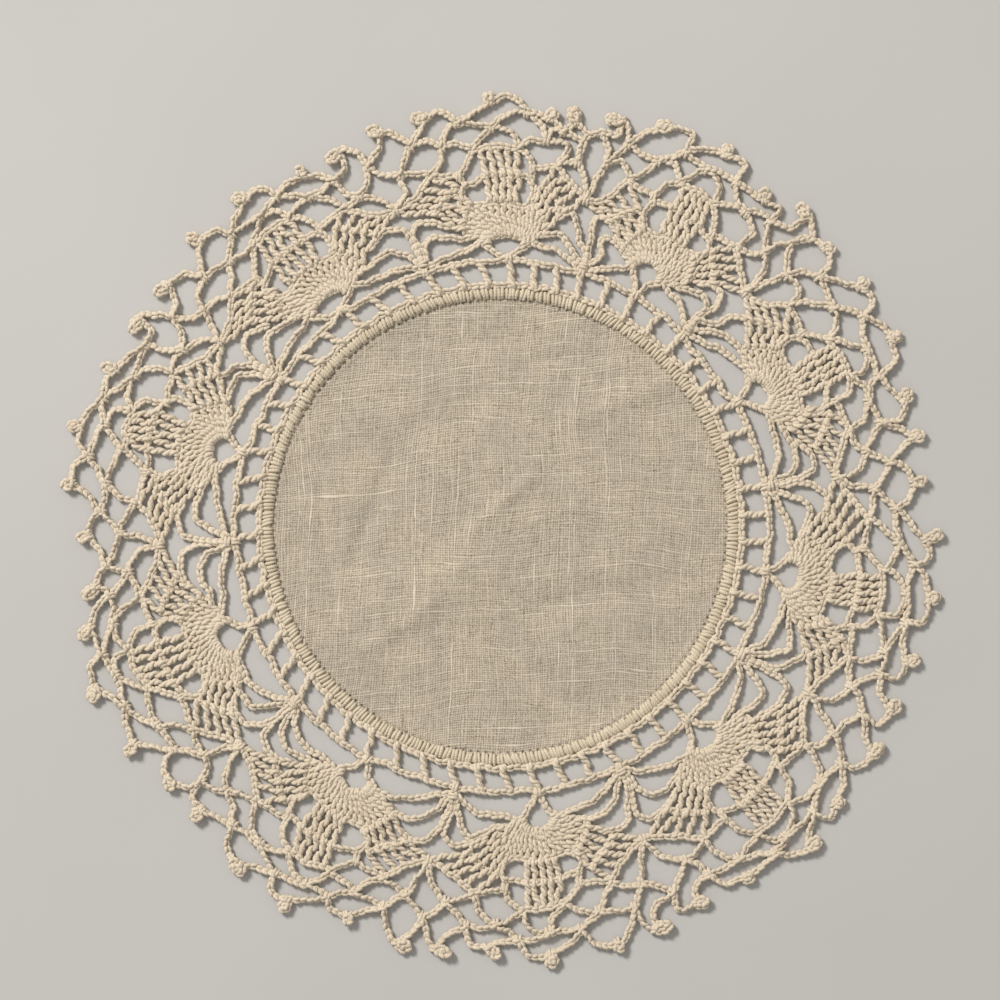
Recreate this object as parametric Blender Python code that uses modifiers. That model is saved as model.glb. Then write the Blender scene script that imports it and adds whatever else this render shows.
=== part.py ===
"""Lace doily: a round linen centre, the stitched band over its edge and a crocheted border.

Metres, +Z up. It lies flat, with its underside on z = 0 and the linen's centre at the origin.
The border is ten fans. In the tables each row is a fan, counter-clockwise from +X. A column
whose name ends in _a is an angle in degrees, and one that ends in _r is a distance from the
centre in thirds of a millimetre. The cord's middle line runs through the tables' points.
"""

import math
from collections import namedtuple

import bpy
import numpy as np

THIRD = 0.001 / 3

LINEN_RADIUS = 0.0763
LINEN_THICKNESS = 0.0010
LINEN_SEGMENTS = 120

BAND_INNER_RADIUS = 0.0766
BAND_OUTER_RADIUS = 0.0796
BAND_EDGE_HEIGHT = 0.0016
BAND_CROWN_HEIGHT = 0.0023
BAND_STEPS = 120

BORDER_INNER_RADIUS = 0.0799
BORDER_THICKNESS = 0.0020
BORDER_INNER_POINTS = 96
HALF_CORD_R = 3.45
SQUARE_LOW_R = 244.0
CHAIN_R = 265.0
SPIDER_FOOT_R = 269.0
SPIDER_TOP_R = 291.0

HIGH_ARCH_DROP_R = 17.0
LEG_FOOT_T = 0.6
MIDDLE_ARCH_T = 6.5
MIDDLE_ARCH_RISE_R = 7.0
LEAF_FOOT_T = 8.8
LEAF_FOOT_RISE_R = 12.0
LEAF_SAG_R = 2.0
LINK_SHARE = 0.36
LINK_DROP_R = 5.0
CROWN_RISE_R = 3.0
SMALL_HOLE_SHARE = 0.6
CORNER_CUT = 0.28

ARCH_BOW = 0.62
TRAVEL_STEPS = 80
HALF_PICOT_R = 6.0
HALF_TIP_R = 4.2
LEAST_STEP_A = 0.13
PICOT_LEAN_A = 0.9
LEAST_CORNER_GAP_R = 0.9
LEAST_GAP_LENGTH_R = 12.0
GAPS_A_FAN = 30

FAN_COUNT = 10
ARCHES_A_FAN = 5
HALF_FAN = 18.0


def table(columns, *rows):
    row_type = namedtuple("Row", columns)
    return [row_type(*row) for row in rows]


# Where each fan grows from the round of squares, the hole under it, the knot (spider) and the
# joining point after it, the squares before and after that knot, and the lean of its posts.
FANS = table(
    "root_a hole_a hole_half hole_low_r hole_high_r spider_a join_a join_r before after lean",
    (27.7, 27.3, 2.4, 281, 298, 46.4, 43.8, 338, 3, 2, 0.6),
    (59.8, 60.0, 2.1, 282, 301, 72.3, 75.3, 337, 2, 3, 0.0),
    (88.2, 88.9, 3.0, 279, 289, 106.5, 108.4, 332, 3, 3, -1.2),
    (126.5, 127.3, 3.2, 276, 287, 146.5, 146.6, 335, 3, 3, -2.6),
    (163.9, 164.8, 2.4, 278, 297, 183.2, 183.2, 341, 3, 3, -2.2),
    (202.0, 202.3, 2.6, 280, 303, 220.6, 220.2, 340, 3, 3, -2.0),
    (240.3, 240.1, 2.5, 281, 300, 260.1, 258.0, 341, 3, 3, -2.6),
    (278.1, 277.4, 2.3, 283, 303, 296.3, 294.6, 343, 3, 3, -1.2),
    (313.9, 314.0, 2.4, 283, 303, 331.9, 331.6, 349, 3, 3, 0.1),
    (350.3, 350.4, 2.5, 281, 302, 368.6, 368.4, 339, 3, 3, 0.3),
)

# The tops of a fan's side leaves and the top corners of its middle block.
TOPS = table(
    "right_a right_r corner_a corner_r far_corner_a far_corner_r left_a left_r",
    (15.8, 362, 23.3, 379, 29.8, 377, 37.5, 363),
    (49.9, 365, 56.5, 385, 62.5, 387, 69.8, 368),
    (81.0, 364, 87.2, 378, 94.3, 377, 101.3, 357),
    (116.4, 354, 124.3, 373, 131.5, 373, 139.7, 353),
    (154.8, 361, 162.6, 385, 168.4, 384, 176.2, 363),
    (191.0, 366, 198.3, 391, 204.9, 387, 213.6, 367),
    (228.4, 366, 237.0, 386, 243.7, 383, 251.7, 369),
    (265.8, 367, 273.5, 386, 279.7, 384, 287.5, 370),
    (303.0, 372, 310.2, 402, 316.4, 400, 324.4, 373),
    (339.5, 371, 346.8, 386, 353.7, 384, 361.3, 368),
)

# The two larger holes beside the middle block.
HOLES = table(
    "right_a right_half right_low_r right_high_r left_a left_half left_low_r left_high_r",
    (21.7, 1.4, 328, 347, 30.8, 1.8, 332, 352),
    (55.0, 1.3, 337, 352, 63.4, 1.4, 333, 358),
    (85.8, 0.8, 325, 348, 94.4, 1.7, 326, 341),
    (122.6, 1.2, 323, 342, 133.1, 1.4, 321, 338),
    (160.1, 1.1, 331, 356, 170.1, 1.8, 332, 357),
    (197.2, 1.1, 336, 357, 207.3, 1.3, 336, 355),
    (234.8, 1.3, 330, 354, 244.5, 2.0, 334, 353),
    (272.2, 1.7, 336, 350, 281.5, 1.5, 336, 351),
    (309.0, 1.6, 337, 360, 318.0, 1.8, 337, 361),
    (345.1, 1.8, 335, 356, 354.4, 2.0, 335, 356),
)

FIVE_POINTS = "p0_a p0_r p1_a p1_r p2_a p2_r p3_a p3_r p4_a p4_r"

# First round of arches: its crests, where the second round is caught.
FIRST_CRESTS = table(
    FIVE_POINTS,
    (11.8, 372, 18.8, 388, 25.6, 406, 33.3, 397, 41.3, 380),
    (46.0, 379, 52.0, 398, 60.2, 411, 66.6, 397, 73.8, 377),
    (78.0, 371, 83.2, 388, 91.3, 398, 98.8, 382, 105.9, 364),
    (113.2, 358, 120.0, 380, 128.0, 391, 135.6, 378, 144.0, 365),
    (150.8, 362, 157.6, 394, 165.5, 408, 173.7, 396, 181.0, 380),
    (187.0, 374, 194.0, 398, 201.0, 411, 210.0, 396, 217.6, 373),
    (223.8, 380, 232.8, 397, 241.5, 406, 248.2, 392, 255.8, 378),
    (261.8, 378, 269.3, 397, 276.8, 408, 284.3, 396, 291.6, 381),
    (298.9, 380, 305.6, 407, 312.7, 420, 321.3, 408, 328.3, 390),
    (335.5, 384, 342.0, 402, 350.7, 410, 357.9, 397, 365.8, 374),
)

# Second round of arches: its crests, where the picot round is caught.
SECOND_CRESTS = table(
    FIVE_POINTS,
    (15.3, 393, 21.8, 406, 30.0, 418, 38.3, 403, 44.3, 405),
    (48.6, 405, 55.6, 415, 63.7, 416, 71.5, 402, 75.7, 405),
    (81.0, 399, 86.5, 414, 96.2, 405, 103.4, 389, 110.4, 382),
    (115.7, 382, 124.0, 398, 132.7, 396, 140.0, 386, 147.4, 387),
    (153.0, 397, 162.0, 416, 170.3, 417, 178.0, 399, 185.8, 395),
    (190.0, 395, 197.8, 417, 205.5, 415, 214.5, 394, 220.3, 392),
    (228.1, 400, 237.0, 413, 244.9, 408, 253.0, 396, 258.7, 397),
    (265.1, 400, 272.5, 413, 281.3, 410, 289.4, 403, 295.4, 402),
    (301.0, 404, 310.3, 425, 317.7, 422, 325.2, 413, 332.6, 407),
    (338.8, 406, 346.6, 415, 354.8, 414, 362.8, 394, 369.4, 394),
)

# Picot round: the foot of each picot on its arch, then its tip.
PICOT_FEET = table(
    FIVE_POINTS,
    (17.0, 422, 25.7, 432, 33.8, 430, 41.2, 427, 45.0, 437),
    (51.0, 418, 58.8, 433, 66.8, 434, 73.2, 424, 79.3, 410),
    (83.4, 410, 91.5, 423, 100.0, 415, 106.8, 411, 113.3, 408),
    (119.2, 401, 127.7, 414, 136.3, 413, 143.8, 410, 149.8, 416),
    (157.7, 414, 166.7, 431, 174.2, 430, 181.3, 411, 188.5, 408),
    (193.8, 421, 201.5, 436, 210.7, 424, 217.0, 417, 223.5, 411),
    (231.0, 426, 240.3, 429, 248.3, 417, 255.8, 428, 261.0, 427),
    (268.0, 421, 276.8, 430, 285.8, 433, 290.8, 431, 297.3, 424),
    (304.5, 426, 313.6, 445, 320.5, 435, 328.0, 436, 334.5, 431),
    (341.5, 427, 350.0, 434, 358.2, 424, 366.0, 415, 372.2, 420),
)
PICOT_TIPS = table(
    FIVE_POINTS,
    (18.6, 430, 25.6, 443, 33.8, 441, 39.6, 431, 47.2, 437),
    (52.0, 428, 59.0, 443, 68.6, 430, 75.3, 420, 80.3, 424),
    (82.4, 419, 91.6, 433, 102.2, 417, 108.6, 417, 115.4, 403),
    (119.4, 412, 129.2, 423, 137.2, 426, 146.0, 415, 152.2, 416),
    (158.0, 428, 166.8, 442, 174.6, 439, 181.7, 422, 189.7, 422),
    (194.9, 434, 203.2, 443, 211.4, 437, 218.7, 421, 223.5, 425),
    (233.3, 433, 240.4, 441, 249.3, 424, 257.9, 430, 263.3, 430),
    (269.8, 429, 276.6, 443, 286.0, 440, 293.2, 433, 299.0, 428),
    (305.8, 431, 315.6, 446, 321.4, 436, 330.2, 438, 336.4, 434),
    (342.3, 438, 351.2, 442, 359.1, 440, 366.4, 427, 372.1, 432),
)


# The strands of a fan's side: t is 0 on the fan's middle line and 18 on the spider's line, and
# rise_r counts from the strand's own level.
LEG = table("share rise_r", (0.75, -9), (1.7, 2))
LOW_ARCH = table("t share", (9.5, 0.9), (13, 0.66), (16, 0.38), (18, 0))
MIDDLE_ARCH = table("t rise_r", (10, -4), (13, -1), (15, -5), (16.6, -16), (17.6, -26))
HIGH_ARCH = table("t rise_r", (12.8, 0), (15, -1), (17, -7), (17.9, -17))
LEAF_STRAND = table("t rise_r", (10.8, -9), (12.8, 0))
LEAF_TIP = table("t rise_r", (15.5, -8))

# Half of the hole between a fan's two legs, in shares of its half width and of its depth.
FAN_HOLE = table("share height", (0, 0), (0.72, 0.3), (1, 0.55), (0.7, 0.9), (0, 1))


def flat(point):
    """An (angle, radius) point on the plane, in thirds of a millimetre."""
    angle = math.radians(point[0])
    return np.array([math.cos(angle), math.sin(angle)]) * point[1]


def between(start, end, share):
    return tuple(a + (b - a) * share for a, b in zip(start, end))


def around(rows, fan, name):
    """The named point of a fan's row. Fans -1 and 10 are the last and the first, a turn away."""
    row = rows[fan % FAN_COUNT]
    turn = 360.0 * (fan // FAN_COUNT)
    return (getattr(row, name + "_a") + turn, getattr(row, name + "_r", CHAIN_R))


def crest(rows, number):
    """The point of the arch with this number, which runs on from fan to fan."""
    fan, place = divmod(number, ARCHES_A_FAN)
    return around(rows, fan, f"p{place}")


def bowed(start, end):
    """Halfway along a stretch of arch, which leaves its lower end outward and then bends over."""
    lower, upper = sorted((start, end), key=lambda point: point[1])
    corner = (lower[0], upper[1])
    return between(between(start, end, 0.5), corner, ARCH_BOW / 2)


def arch(start, top, end):
    return [start, bowed(start, top), top, bowed(top, end), end]


class Side:
    """One half of a fan, from its middle line out to the spider beside it."""

    def __init__(self, fan, way):
        beside = fan if way > 0 else fan - 1
        self.way = way
        self.root = around(FANS, fan, "root")[0]
        self.spider = around(FANS, beside, "spider")[0]
        self.join = around(FANS, beside, "join")
        self.top = around(TOPS, fan, "left" if way > 0 else "right")
        self.corner = around(TOPS, fan, "far_corner" if way > 0 else "corner")
        row = FANS[fan % FAN_COUNT]
        self.hole = around(FANS, fan, "hole")[0]
        self.hole_half = row.hole_half
        self.loop_r = (row.hole_low_r + row.hole_high_r) / 2
        self.high_arch_r = self.join[1] - HIGH_ARCH_DROP_R
        self.middle_arch_r = (self.loop_r + self.high_arch_r) / 2
        self.link = (between(self.corner, self.top, LINK_SHARE)[0], self.top[1] - LINK_DROP_R)

    def at(self, t, radius):
        """The point t of 18 parts of the way from the fan's middle line to the spider's line."""
        share = min(max((radius - SPIDER_TOP_R) / (self.join[1] - SPIDER_TOP_R), 0), 1)
        edge = self.spider + (self.join[0] - self.spider) * share
        return (self.root + (edge - self.root) * t / HALF_FAN, radius)

    def strand(self, rows, level):
        return [self.at(row.t, level + row.rise_r) for row in rows]

    def beside_hole(self, name):
        row = LEG[name]
        return (self.hole + self.way * self.hole_half * row.share, self.loop_r + row.rise_r)

    def leg(self):
        return [self.at(LEG_FOOT_T, SPIDER_FOOT_R), self.beside_hole(0), self.beside_hole(1)]

    def low_arch(self):
        rise = self.loop_r - SPIDER_FOOT_R
        falling = [self.at(row.t, SPIDER_FOOT_R + rise * row.share) for row in LOW_ARCH]
        return [self.beside_hole(1)] + falling

    def middle_arch(self):
        start = self.at(MIDDLE_ARCH_T, self.loop_r + MIDDLE_ARCH_RISE_R)
        return [start] + self.strand(MIDDLE_ARCH, self.middle_arch_r)

    def high_arch(self):
        return self.strand(HIGH_ARCH, self.high_arch_r)

    def leaf_strand(self):
        """The leaf's lowest strand, from the fan to the high arch."""
        start = self.at(LEAF_FOOT_T, self.loop_r + LEAF_FOOT_RISE_R)
        return [start] + self.strand(LEAF_STRAND, self.high_arch_r)

    def leaf_edge(self):
        middle = between(self.top, self.join, 0.5)
        return (middle[0], middle[1] - LEAF_SAG_R)

    def block_side(self):
        middle = between(self.corner, self.link, 0.5)
        return between(middle, (self.link[0], self.corner[1]), 0.5)


def low_gap(side):
    return side.leg() + side.low_arch()[1:] + [(side.at(HALF_FAN / 2, 0)[0], CHAIN_R)]


def middle_gap(side):
    return side.middle_arch() + side.low_arch()[3::-1]


def high_gap(side):
    lower = [side.at(HALF_FAN, SPIDER_TOP_R)] + side.middle_arch()[4:0:-1]
    return side.leaf_strand() + side.high_arch()[1:] + lower


def eye_gap(fan):
    """The gap between two high arches, under the joining point of their leaves."""
    after, before = Side(fan + 1, -1), Side(fan, 1)
    foot = (before.spider, before.high_arch_r + HIGH_ARCH[-1].rise_r)
    rising = before.strand(LEAF_TIP, before.join[1])
    falling = after.strand(LEAF_TIP, after.join[1])
    return [foot] + after.high_arch()[2::-1] + falling + [before.join] + rising + before.high_arch()[:3]


def fan_hole(fan):
    """The rounded hole between the two legs that carry the fan."""
    row = FANS[fan]
    depth = row.hole_high_r - row.hole_low_r
    mirrored = [(-point.share, point.height) for point in FAN_HOLE[3:0:-1]]
    outline = [(point.share, point.height) for point in FAN_HOLE] + mirrored
    return [(row.hole_a + x * row.hole_half, row.hole_low_r + y * depth) for x, y in outline]


def block_holes(fan):
    """The larger and the smaller hole on each side of the middle block."""
    row = HOLES[fan]
    for name, way in (("right", -1), ("left", 1)):
        side = Side(fan, way)
        centre, half = getattr(row, name + "_a"), getattr(row, name + "_half")
        low, high = getattr(row, name + "_low_r"), getattr(row, name + "_high_r")
        yield rounded(centre, half, low, high)
        low, high = side.link[1] + HALF_CORD_R, side.corner[1] - 2 * HALF_CORD_R
        yield rounded(centre, half * SMALL_HOLE_SHARE, low, high)


def rounded(centre, half, low, high):
    """An upright hole with its corners cut off."""
    slope = (high - low) * CORNER_CUT
    right = [(centre + half, low + slope), (centre + half, high - slope)]
    left = [(centre - half, high - slope), (centre - half, low + slope)]
    return [(centre, low)] + right + [(centre, high)] + left


def anchors(number):
    """The two ends of a first-round arch, and the points of the fan's edge under it."""
    fan, place = divmod(number, ARCHES_A_FAN)
    right, left = Side(fan, -1), Side(fan, 1)
    crown = between(left.corner, right.corner, 0.5)
    return (
        (right.join, right.top, [right.leaf_edge()]),
        (right.top, right.corner, [right.block_side(), right.link]),
        (right.corner, left.corner, [(crown[0], crown[1] + CROWN_RISE_R)]),
        (left.corner, left.top, [left.link, left.block_side()]),
        (left.top, left.join, [left.leaf_edge()]),
    )[place]


def first_arch(number):
    start, end, _ = anchors(number)
    return arch(start, crest(FIRST_CRESTS, number), end)


def second_arch(number):
    top = crest(SECOND_CRESTS, number)
    return arch(crest(FIRST_CRESTS, number), top, crest(FIRST_CRESTS, number + 1))


def picot_arch(number):
    top = crest(PICOT_FEET, number)
    return arch(crest(SECOND_CRESTS, number), top, crest(SECOND_CRESTS, number + 1))


def net_gaps(number):
    """The gaps under the first, second and picot arches with this number."""
    first, second, picot = first_arch(number), second_arch(number), picot_arch(number)
    next_first, next_second = first_arch(number + 1), second_arch(number + 1)
    yield first + anchors(number)[2]
    yield second + [next_first[1], next_first[0], first[3]]
    yield picot + [next_second[1], next_second[0], second[3]]


def distances(points, border):
    """The distance of each point to the nearest stretch of the closed border."""
    starts, ends = border, np.roll(border, -1, axis=0)
    along = ends - starts
    offset = points[:, None] - starts[None]
    share = (offset * along).sum(-1) / np.maximum((along * along).sum(-1), 1e-9)
    nearest = starts + np.clip(share, 0, 1)[..., None] * along
    return np.linalg.norm(points[:, None] - nearest, axis=-1).min(axis=1)


def area_and_centre(points):
    x, y = points.T
    cross = x * np.roll(y, -1) - y * np.roll(x, -1)
    area = cross.sum() / 2
    centre = [((v + np.roll(v, -1)) * cross).sum() / (6 * area) for v in (x, y)]
    return abs(area), np.array(centre)


def drawn_in(strands):
    """The opening inside a ring of strands: each point moves toward the middle until it is half
    a cord from all of them. None if the cords close it."""
    border = np.array([flat(point) for point in strands])
    centre = area_and_centre(border)[1]
    shares = np.linspace(0, 1, TRAVEL_STEPS)[:, None]
    kept = []
    for point in border:
        path = point + (centre - point) * shares
        clear = np.flatnonzero(distances(path, border) >= HALF_CORD_R)
        if len(clear) == 0:
            return None
        moved = path[clear[0]]
        if all(np.linalg.norm(moved - other) > LEAST_CORNER_GAP_R for other in kept):
            kept.append(moved)
    return in_turn(kept, centre)


def in_turn(points, centre):
    """The points that follow each other one way round the centre, as a simple outline."""
    if len(points) < 4:
        return None
    angles = [math.atan2(*(point - centre)[::-1]) for point in points]
    steps = [math.remainder(b - a, math.tau) for a, b in zip(angles, angles[1:] + angles[:1])]
    way = math.copysign(1, sum(steps))
    if abs(abs(sum(steps)) - math.tau) > 0.1:
        return None
    return np.array([p for p, step in zip(points, steps[-1:] + steps[:-1]) if step * way > 0])


def squares(fan):
    """The open squares from one fan's middle post to the next one's."""
    row = FANS[fan]
    next_row = FANS[(fan + 1) % FAN_COUNT]
    root, spider = row.root_a, row.spider_a
    next_root = around(FANS, fan + 1, "root")[0]
    tops = [root + (spider - root) * n / row.before for n in range(row.before)]
    tops += [spider + (next_root - spider) * n / row.after for n in range(row.after + 1)]
    count = len(tops) - 1
    leans = [row.lean + (next_row.lean - row.lean) * n / count for n in range(count + 1)]
    for n in range(count):
        low_half = math.degrees(HALF_CORD_R / SQUARE_LOW_R)
        high_half = math.degrees(HALF_CORD_R / CHAIN_R)
        high_r = CHAIN_R - HALF_CORD_R
        corners = [
            (tops[n] + leans[n] + low_half, SQUARE_LOW_R),
            (tops[n + 1] + leans[n + 1] - low_half, SQUARE_LOW_R),
            (tops[n + 1] - high_half, high_r),
            (tops[n] + high_half, high_r),
        ]
        yield np.array([flat(corner) for corner in corners])


def fan_gaps(fan):
    """The largest gaps from this fan's middle line to the next one's, up to the number cut."""
    right, left = Side(fan, -1), Side(fan, 1)
    strands = [low_gap(right), low_gap(left), middle_gap(right), middle_gap(left)]
    strands += [high_gap(right), high_gap(left), eye_gap(fan)]
    for number in range(fan * ARCHES_A_FAN, (fan + 1) * ARCHES_A_FAN):
        strands += net_gaps(number)
    gaps = [drawn_in(ring) for ring in strands]
    gaps += [np.array([flat(p) for p in hole]) for hole in [fan_hole(fan), *block_holes(fan)]]
    gaps += squares(fan)
    gaps = [gap for gap in gaps if gap is not None and np.ptp(gap, axis=0).max() > LEAST_GAP_LENGTH_R]
    return sorted(gaps, key=lambda gap: -area_and_centre(gap)[0])[:GAPS_A_FAN]


def outer_outline():
    """The scalloped rim: a valley, then the arch's flanks and the picot's corners, 50 times."""
    points = []
    for number in range(FAN_COUNT * ARCHES_A_FAN):
        valley, flank, _, far_flank, next_valley = picot_arch(number)
        foot, tip = crest(PICOT_FEET, number), crest(PICOT_TIPS, number)
        half_tip = math.degrees(HALF_TIP_R / tip[1])
        half_cord = math.degrees(HALF_CORD_R / flank[1])
        points.append((valley[0], valley[1] + HALF_CORD_R))
        rising = [
            (flank[0] - half_cord, flank[1] + HALF_CORD_R / 2),
            shoulder(foot, tip, -1, picot_arch(number)),
            (tip[0] - half_tip, tip[1]),
            (tip[0] + half_tip, tip[1]),
            shoulder(foot, tip, 1, picot_arch(number)),
            (far_flank[0] + half_cord, far_flank[1] + HALF_CORD_R / 2),
        ]
        points += forward(rising, valley[0], next_valley[0])
    return np.array([flat(point) for point in points])


def shoulder(foot, tip, way, strand):
    """Where a picot's flank meets its arch: under its tip on the side that it leans to."""
    if (tip[0] - foot[0]) * way < PICOT_LEAN_A:
        return (foot[0] + way * math.degrees(HALF_PICOT_R / foot[1]), foot[1] + HALF_CORD_R)
    angle = tip[0] + way * math.degrees(HALF_TIP_R / tip[1])
    outer_side = np.interp(angle, *zip(*sorted(strand))) + HALF_CORD_R
    return (angle, max(min(foot[1], tip[1]) - HALF_PICOT_R, outer_side))


def forward(points, start, end):
    """The points kept in order of angle, each a least step on from the one before it."""
    kept = []
    for number, (angle, radius) in enumerate(points):
        start = max(angle, start + LEAST_STEP_A)
        start = min(start, end - LEAST_STEP_A * (len(points) - number))
        kept.append((start, radius))
    return kept


def circle(radius, count):
    return [(math.tau * n / count, radius) for n in range(count)]


def add_spline(curve, points):
    spline = curve.splines.new("POLY")
    spline.points.add(len(points) - 1)
    for target, (x, y) in zip(spline.points, points):
        target.co = (x, y, 0, 1)
    spline.use_cyclic_u = True


def material(name, colour, roughness):
    made = bpy.data.materials.new(name)
    made.use_nodes = True
    shader = made.node_tree.nodes["Principled BSDF"]
    shader.inputs["Base Color"].default_value = (*colour, 1)
    shader.inputs["Roughness"].default_value = roughness
    return made


def place(obj, collection, made_of):
    obj.data.materials.append(made_of)
    for other in obj.users_collection:
        other.objects.unlink(obj)
    collection.objects.link(obj)


def linen_centre():
    bpy.ops.mesh.primitive_cylinder_add(
        vertices=LINEN_SEGMENTS,
        radius=LINEN_RADIUS,
        depth=LINEN_THICKNESS,
        location=(0, 0, LINEN_THICKNESS / 2),
    )
    obj = bpy.context.object
    obj.name = "linen_centre"
    return obj


def edge_stitching():
    """The band of close stitches: a low crowned section turned round the axis."""
    middle = (BAND_INNER_RADIUS + BAND_OUTER_RADIUS) / 2
    profile = [
        (BAND_OUTER_RADIUS, BAND_EDGE_HEIGHT),
        (BAND_OUTER_RADIUS, 0),
        (BAND_INNER_RADIUS, 0),
        (BAND_INNER_RADIUS, BAND_EDGE_HEIGHT),
        (middle - 0.0007, BAND_CROWN_HEIGHT),
        (middle + 0.0007, BAND_CROWN_HEIGHT),
    ]
    mesh = bpy.data.meshes.new("edge_stitching")
    edges = [(n, (n + 1) % len(profile)) for n in range(len(profile))]
    mesh.from_pydata([(x, 0, z) for x, z in profile], edges, [])
    obj = bpy.data.objects.new("edge_stitching", mesh)
    bpy.context.scene.collection.objects.link(obj)
    screw = obj.modifiers.new("turned", "SCREW")
    screw.steps = screw.render_steps = BAND_STEPS
    screw.use_merge_vertices = True
    screw.merge_threshold = 0.00005
    return obj


def crochet_border():
    """One flat sheet of cord: its rim, its inner edge and its gaps as a filled outline."""
    curve = bpy.data.curves.new("crochet_border", "CURVE")
    curve.dimensions = "2D"
    curve.fill_mode = "BOTH"
    curve.extrude = BORDER_THICKNESS / 2
    add_spline(curve, outer_outline() * THIRD)
    inner = circle(BORDER_INNER_RADIUS, BORDER_INNER_POINTS)
    add_spline(curve, [(radius * math.cos(a), radius * math.sin(a)) for a, radius in inner])
    for fan in range(FAN_COUNT):
        for gap in fan_gaps(fan):
            add_spline(curve, gap * THIRD)
    obj = bpy.data.objects.new("crochet_border", curve)
    obj.location.z = BORDER_THICKNESS / 2
    bpy.context.scene.collection.objects.link(obj)
    return obj


def main():
    for obj in list(bpy.data.objects):
        bpy.data.objects.remove(obj)
    doily = bpy.data.collections.new("lace_doily")
    bpy.context.scene.collection.children.link(doily)
    linen = material("linen", (0.46, 0.41, 0.32), 0.9)
    cotton = material("cotton_cord", (0.65, 0.57, 0.44), 0.85)
    place(linen_centre(), doily, linen)
    place(edge_stitching(), doily, cotton)
    place(crochet_border(), doily, cotton)


main()
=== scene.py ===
"""The looks of the lace doily: every stitch of the border, the linen's weave, light and camera.

Layout lengths are in thirds of a millimetre, as in the part's source, and are scaled to metres
when a mesh is written. In the tables of the border each row is a fan, counter-clockwise from +X,
unless a comment says otherwise. A column whose name ends in _a is an angle in degrees, one in _r
is a distance from the centre or a step along it, and one in _t is a place across a fan.
"""

import math
from collections import namedtuple
from functools import partialmethod

import bpy
import numpy as np
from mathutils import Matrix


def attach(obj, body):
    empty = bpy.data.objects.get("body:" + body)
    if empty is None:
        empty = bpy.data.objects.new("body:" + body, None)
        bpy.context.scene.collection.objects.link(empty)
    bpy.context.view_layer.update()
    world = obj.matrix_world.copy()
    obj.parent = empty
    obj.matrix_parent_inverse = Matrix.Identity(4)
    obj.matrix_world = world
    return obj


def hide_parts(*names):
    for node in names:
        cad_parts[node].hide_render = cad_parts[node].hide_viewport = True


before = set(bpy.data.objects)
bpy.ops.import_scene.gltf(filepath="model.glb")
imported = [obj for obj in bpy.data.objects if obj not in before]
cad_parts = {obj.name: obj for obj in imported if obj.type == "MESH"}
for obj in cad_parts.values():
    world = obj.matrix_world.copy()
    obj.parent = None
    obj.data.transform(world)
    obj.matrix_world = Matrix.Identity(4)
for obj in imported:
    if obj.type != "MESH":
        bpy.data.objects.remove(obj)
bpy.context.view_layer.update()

THIRD = 0.001 / 3
RNG = np.random.default_rng(58)
UP = np.array([0.0, 0.0, 1.0])

# The layout of the border.
FAN_COUNT = 10
ARCHES_A_FAN = 5
HALF_FAN = 18.0
BRAID_R = 241.4
CHAIN_R = 265.0
SPIDER_FOOT_R = 269.0
SPIDER_TOP_R = 291.0
HIGH_ARCH_DROP_R = 17.0
MIDDLE_ARCH_T = 6.0
MIDDLE_ARCH_RISE_R = 8.5
LINK_SHARE = 0.36
LINK_DROP_R = 5.0
GAP_DROP_R = 3.3
GAP_CLEAR_T = 0.5
GAP_SHIFT_MOST_T = 1.2
RAYS = 19
RAYS_HALF_TURN = 98
BLOCK_STRANDS = 5
PICOT_KNOTS = 8

# The thread and its stitches. SWAYS holds a size, a shift and a length for each wave of a chain.
THREAD = 1.9
SIDES = 6
PLIES = 2.0
PLY_TWIST = 0.42
CHAIN_PITCH = 6.6
CHAIN_HALF = 2.0
CHAIN_Z = 3.0
ROLL_WAVE = (45, 80)
LOOSE_AFTER = 12
SWAYS = ((0.6, 3, 17), (0.5, 5, 29))
ROPE_STRAND = 1.98
ROPE_HALF = 1.62
ROPE_TURN = 12.6
ROPE_STEPS = 7
ROPE_SWAY = 1.15
WRAP_THREAD = 1.75
BAND_STITCHES = 190
PADDING_R = 233.8

# The linen. The pitches of its weave are in metres.
LINEN_Z = 1.5
LOW_Z = 1.3
CROWN_R = 205
CROWN_Z = 1.7
HEM_R = 220.5
HEM_Z = 0.55
HEM_RINGS = (-1.2, -0.2, 0.8, 1.8, 3.0, 4.6, 6.2, 7.8, 9.2)
LINEN_RINGS = 82
LINEN_SPOKES = 400
PUCKERS = 95
PRICK_R = 226.0
PRICK_PITCH = 7.5
WARP_PITCH = 0.00078
WEFT_PITCH = 0.00074

# Colours: red, green, blue and alpha. A pair is the light and the dark tone of one material.
CREAM_TONES = ((0.735, 0.645, 0.515, 1), (0.615, 0.52, 0.395, 1))
BAND_TONES = ((0.70, 0.615, 0.475, 1), (0.57, 0.485, 0.355, 1))
FLOOR_TONES = ((0.50, 0.49, 0.475, 1), (0.53, 0.52, 0.505, 1))
LINEN_WARM = (0.626, 0.54, 0.417, 1)
LINEN_GREY = (0.536, 0.473, 0.383, 1)
LINEN_DARK = (0.21, 0.175, 0.13, 1)
LINEN_LIGHT = (0.80, 0.71, 0.57, 1)
# The painted shade in the needle's holes at the linen's edge.
PRICK_SHADE = (0.06, 0.045, 0.03, 1)

# The photo in pixels, which are thirds of a millimetre, and the studio in metres.
PHOTO_SIDE = 1000
CENTRE_IN_PHOTO = (500.5, 526.5)
CAMERA_HEIGHT = 1.1
SENSOR = 36.0
KEY_PLACE = (-1.5, 1.6, 2.0)
KEY_SIZE = 0.80
KEY_POWER = 84
FLOOR_HALF = 3
FLOOR_DROP = 0.0001


def table(columns, *rows):
    row_type = namedtuple("Row", columns)
    return [row_type(*row) for row in rows]


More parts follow.
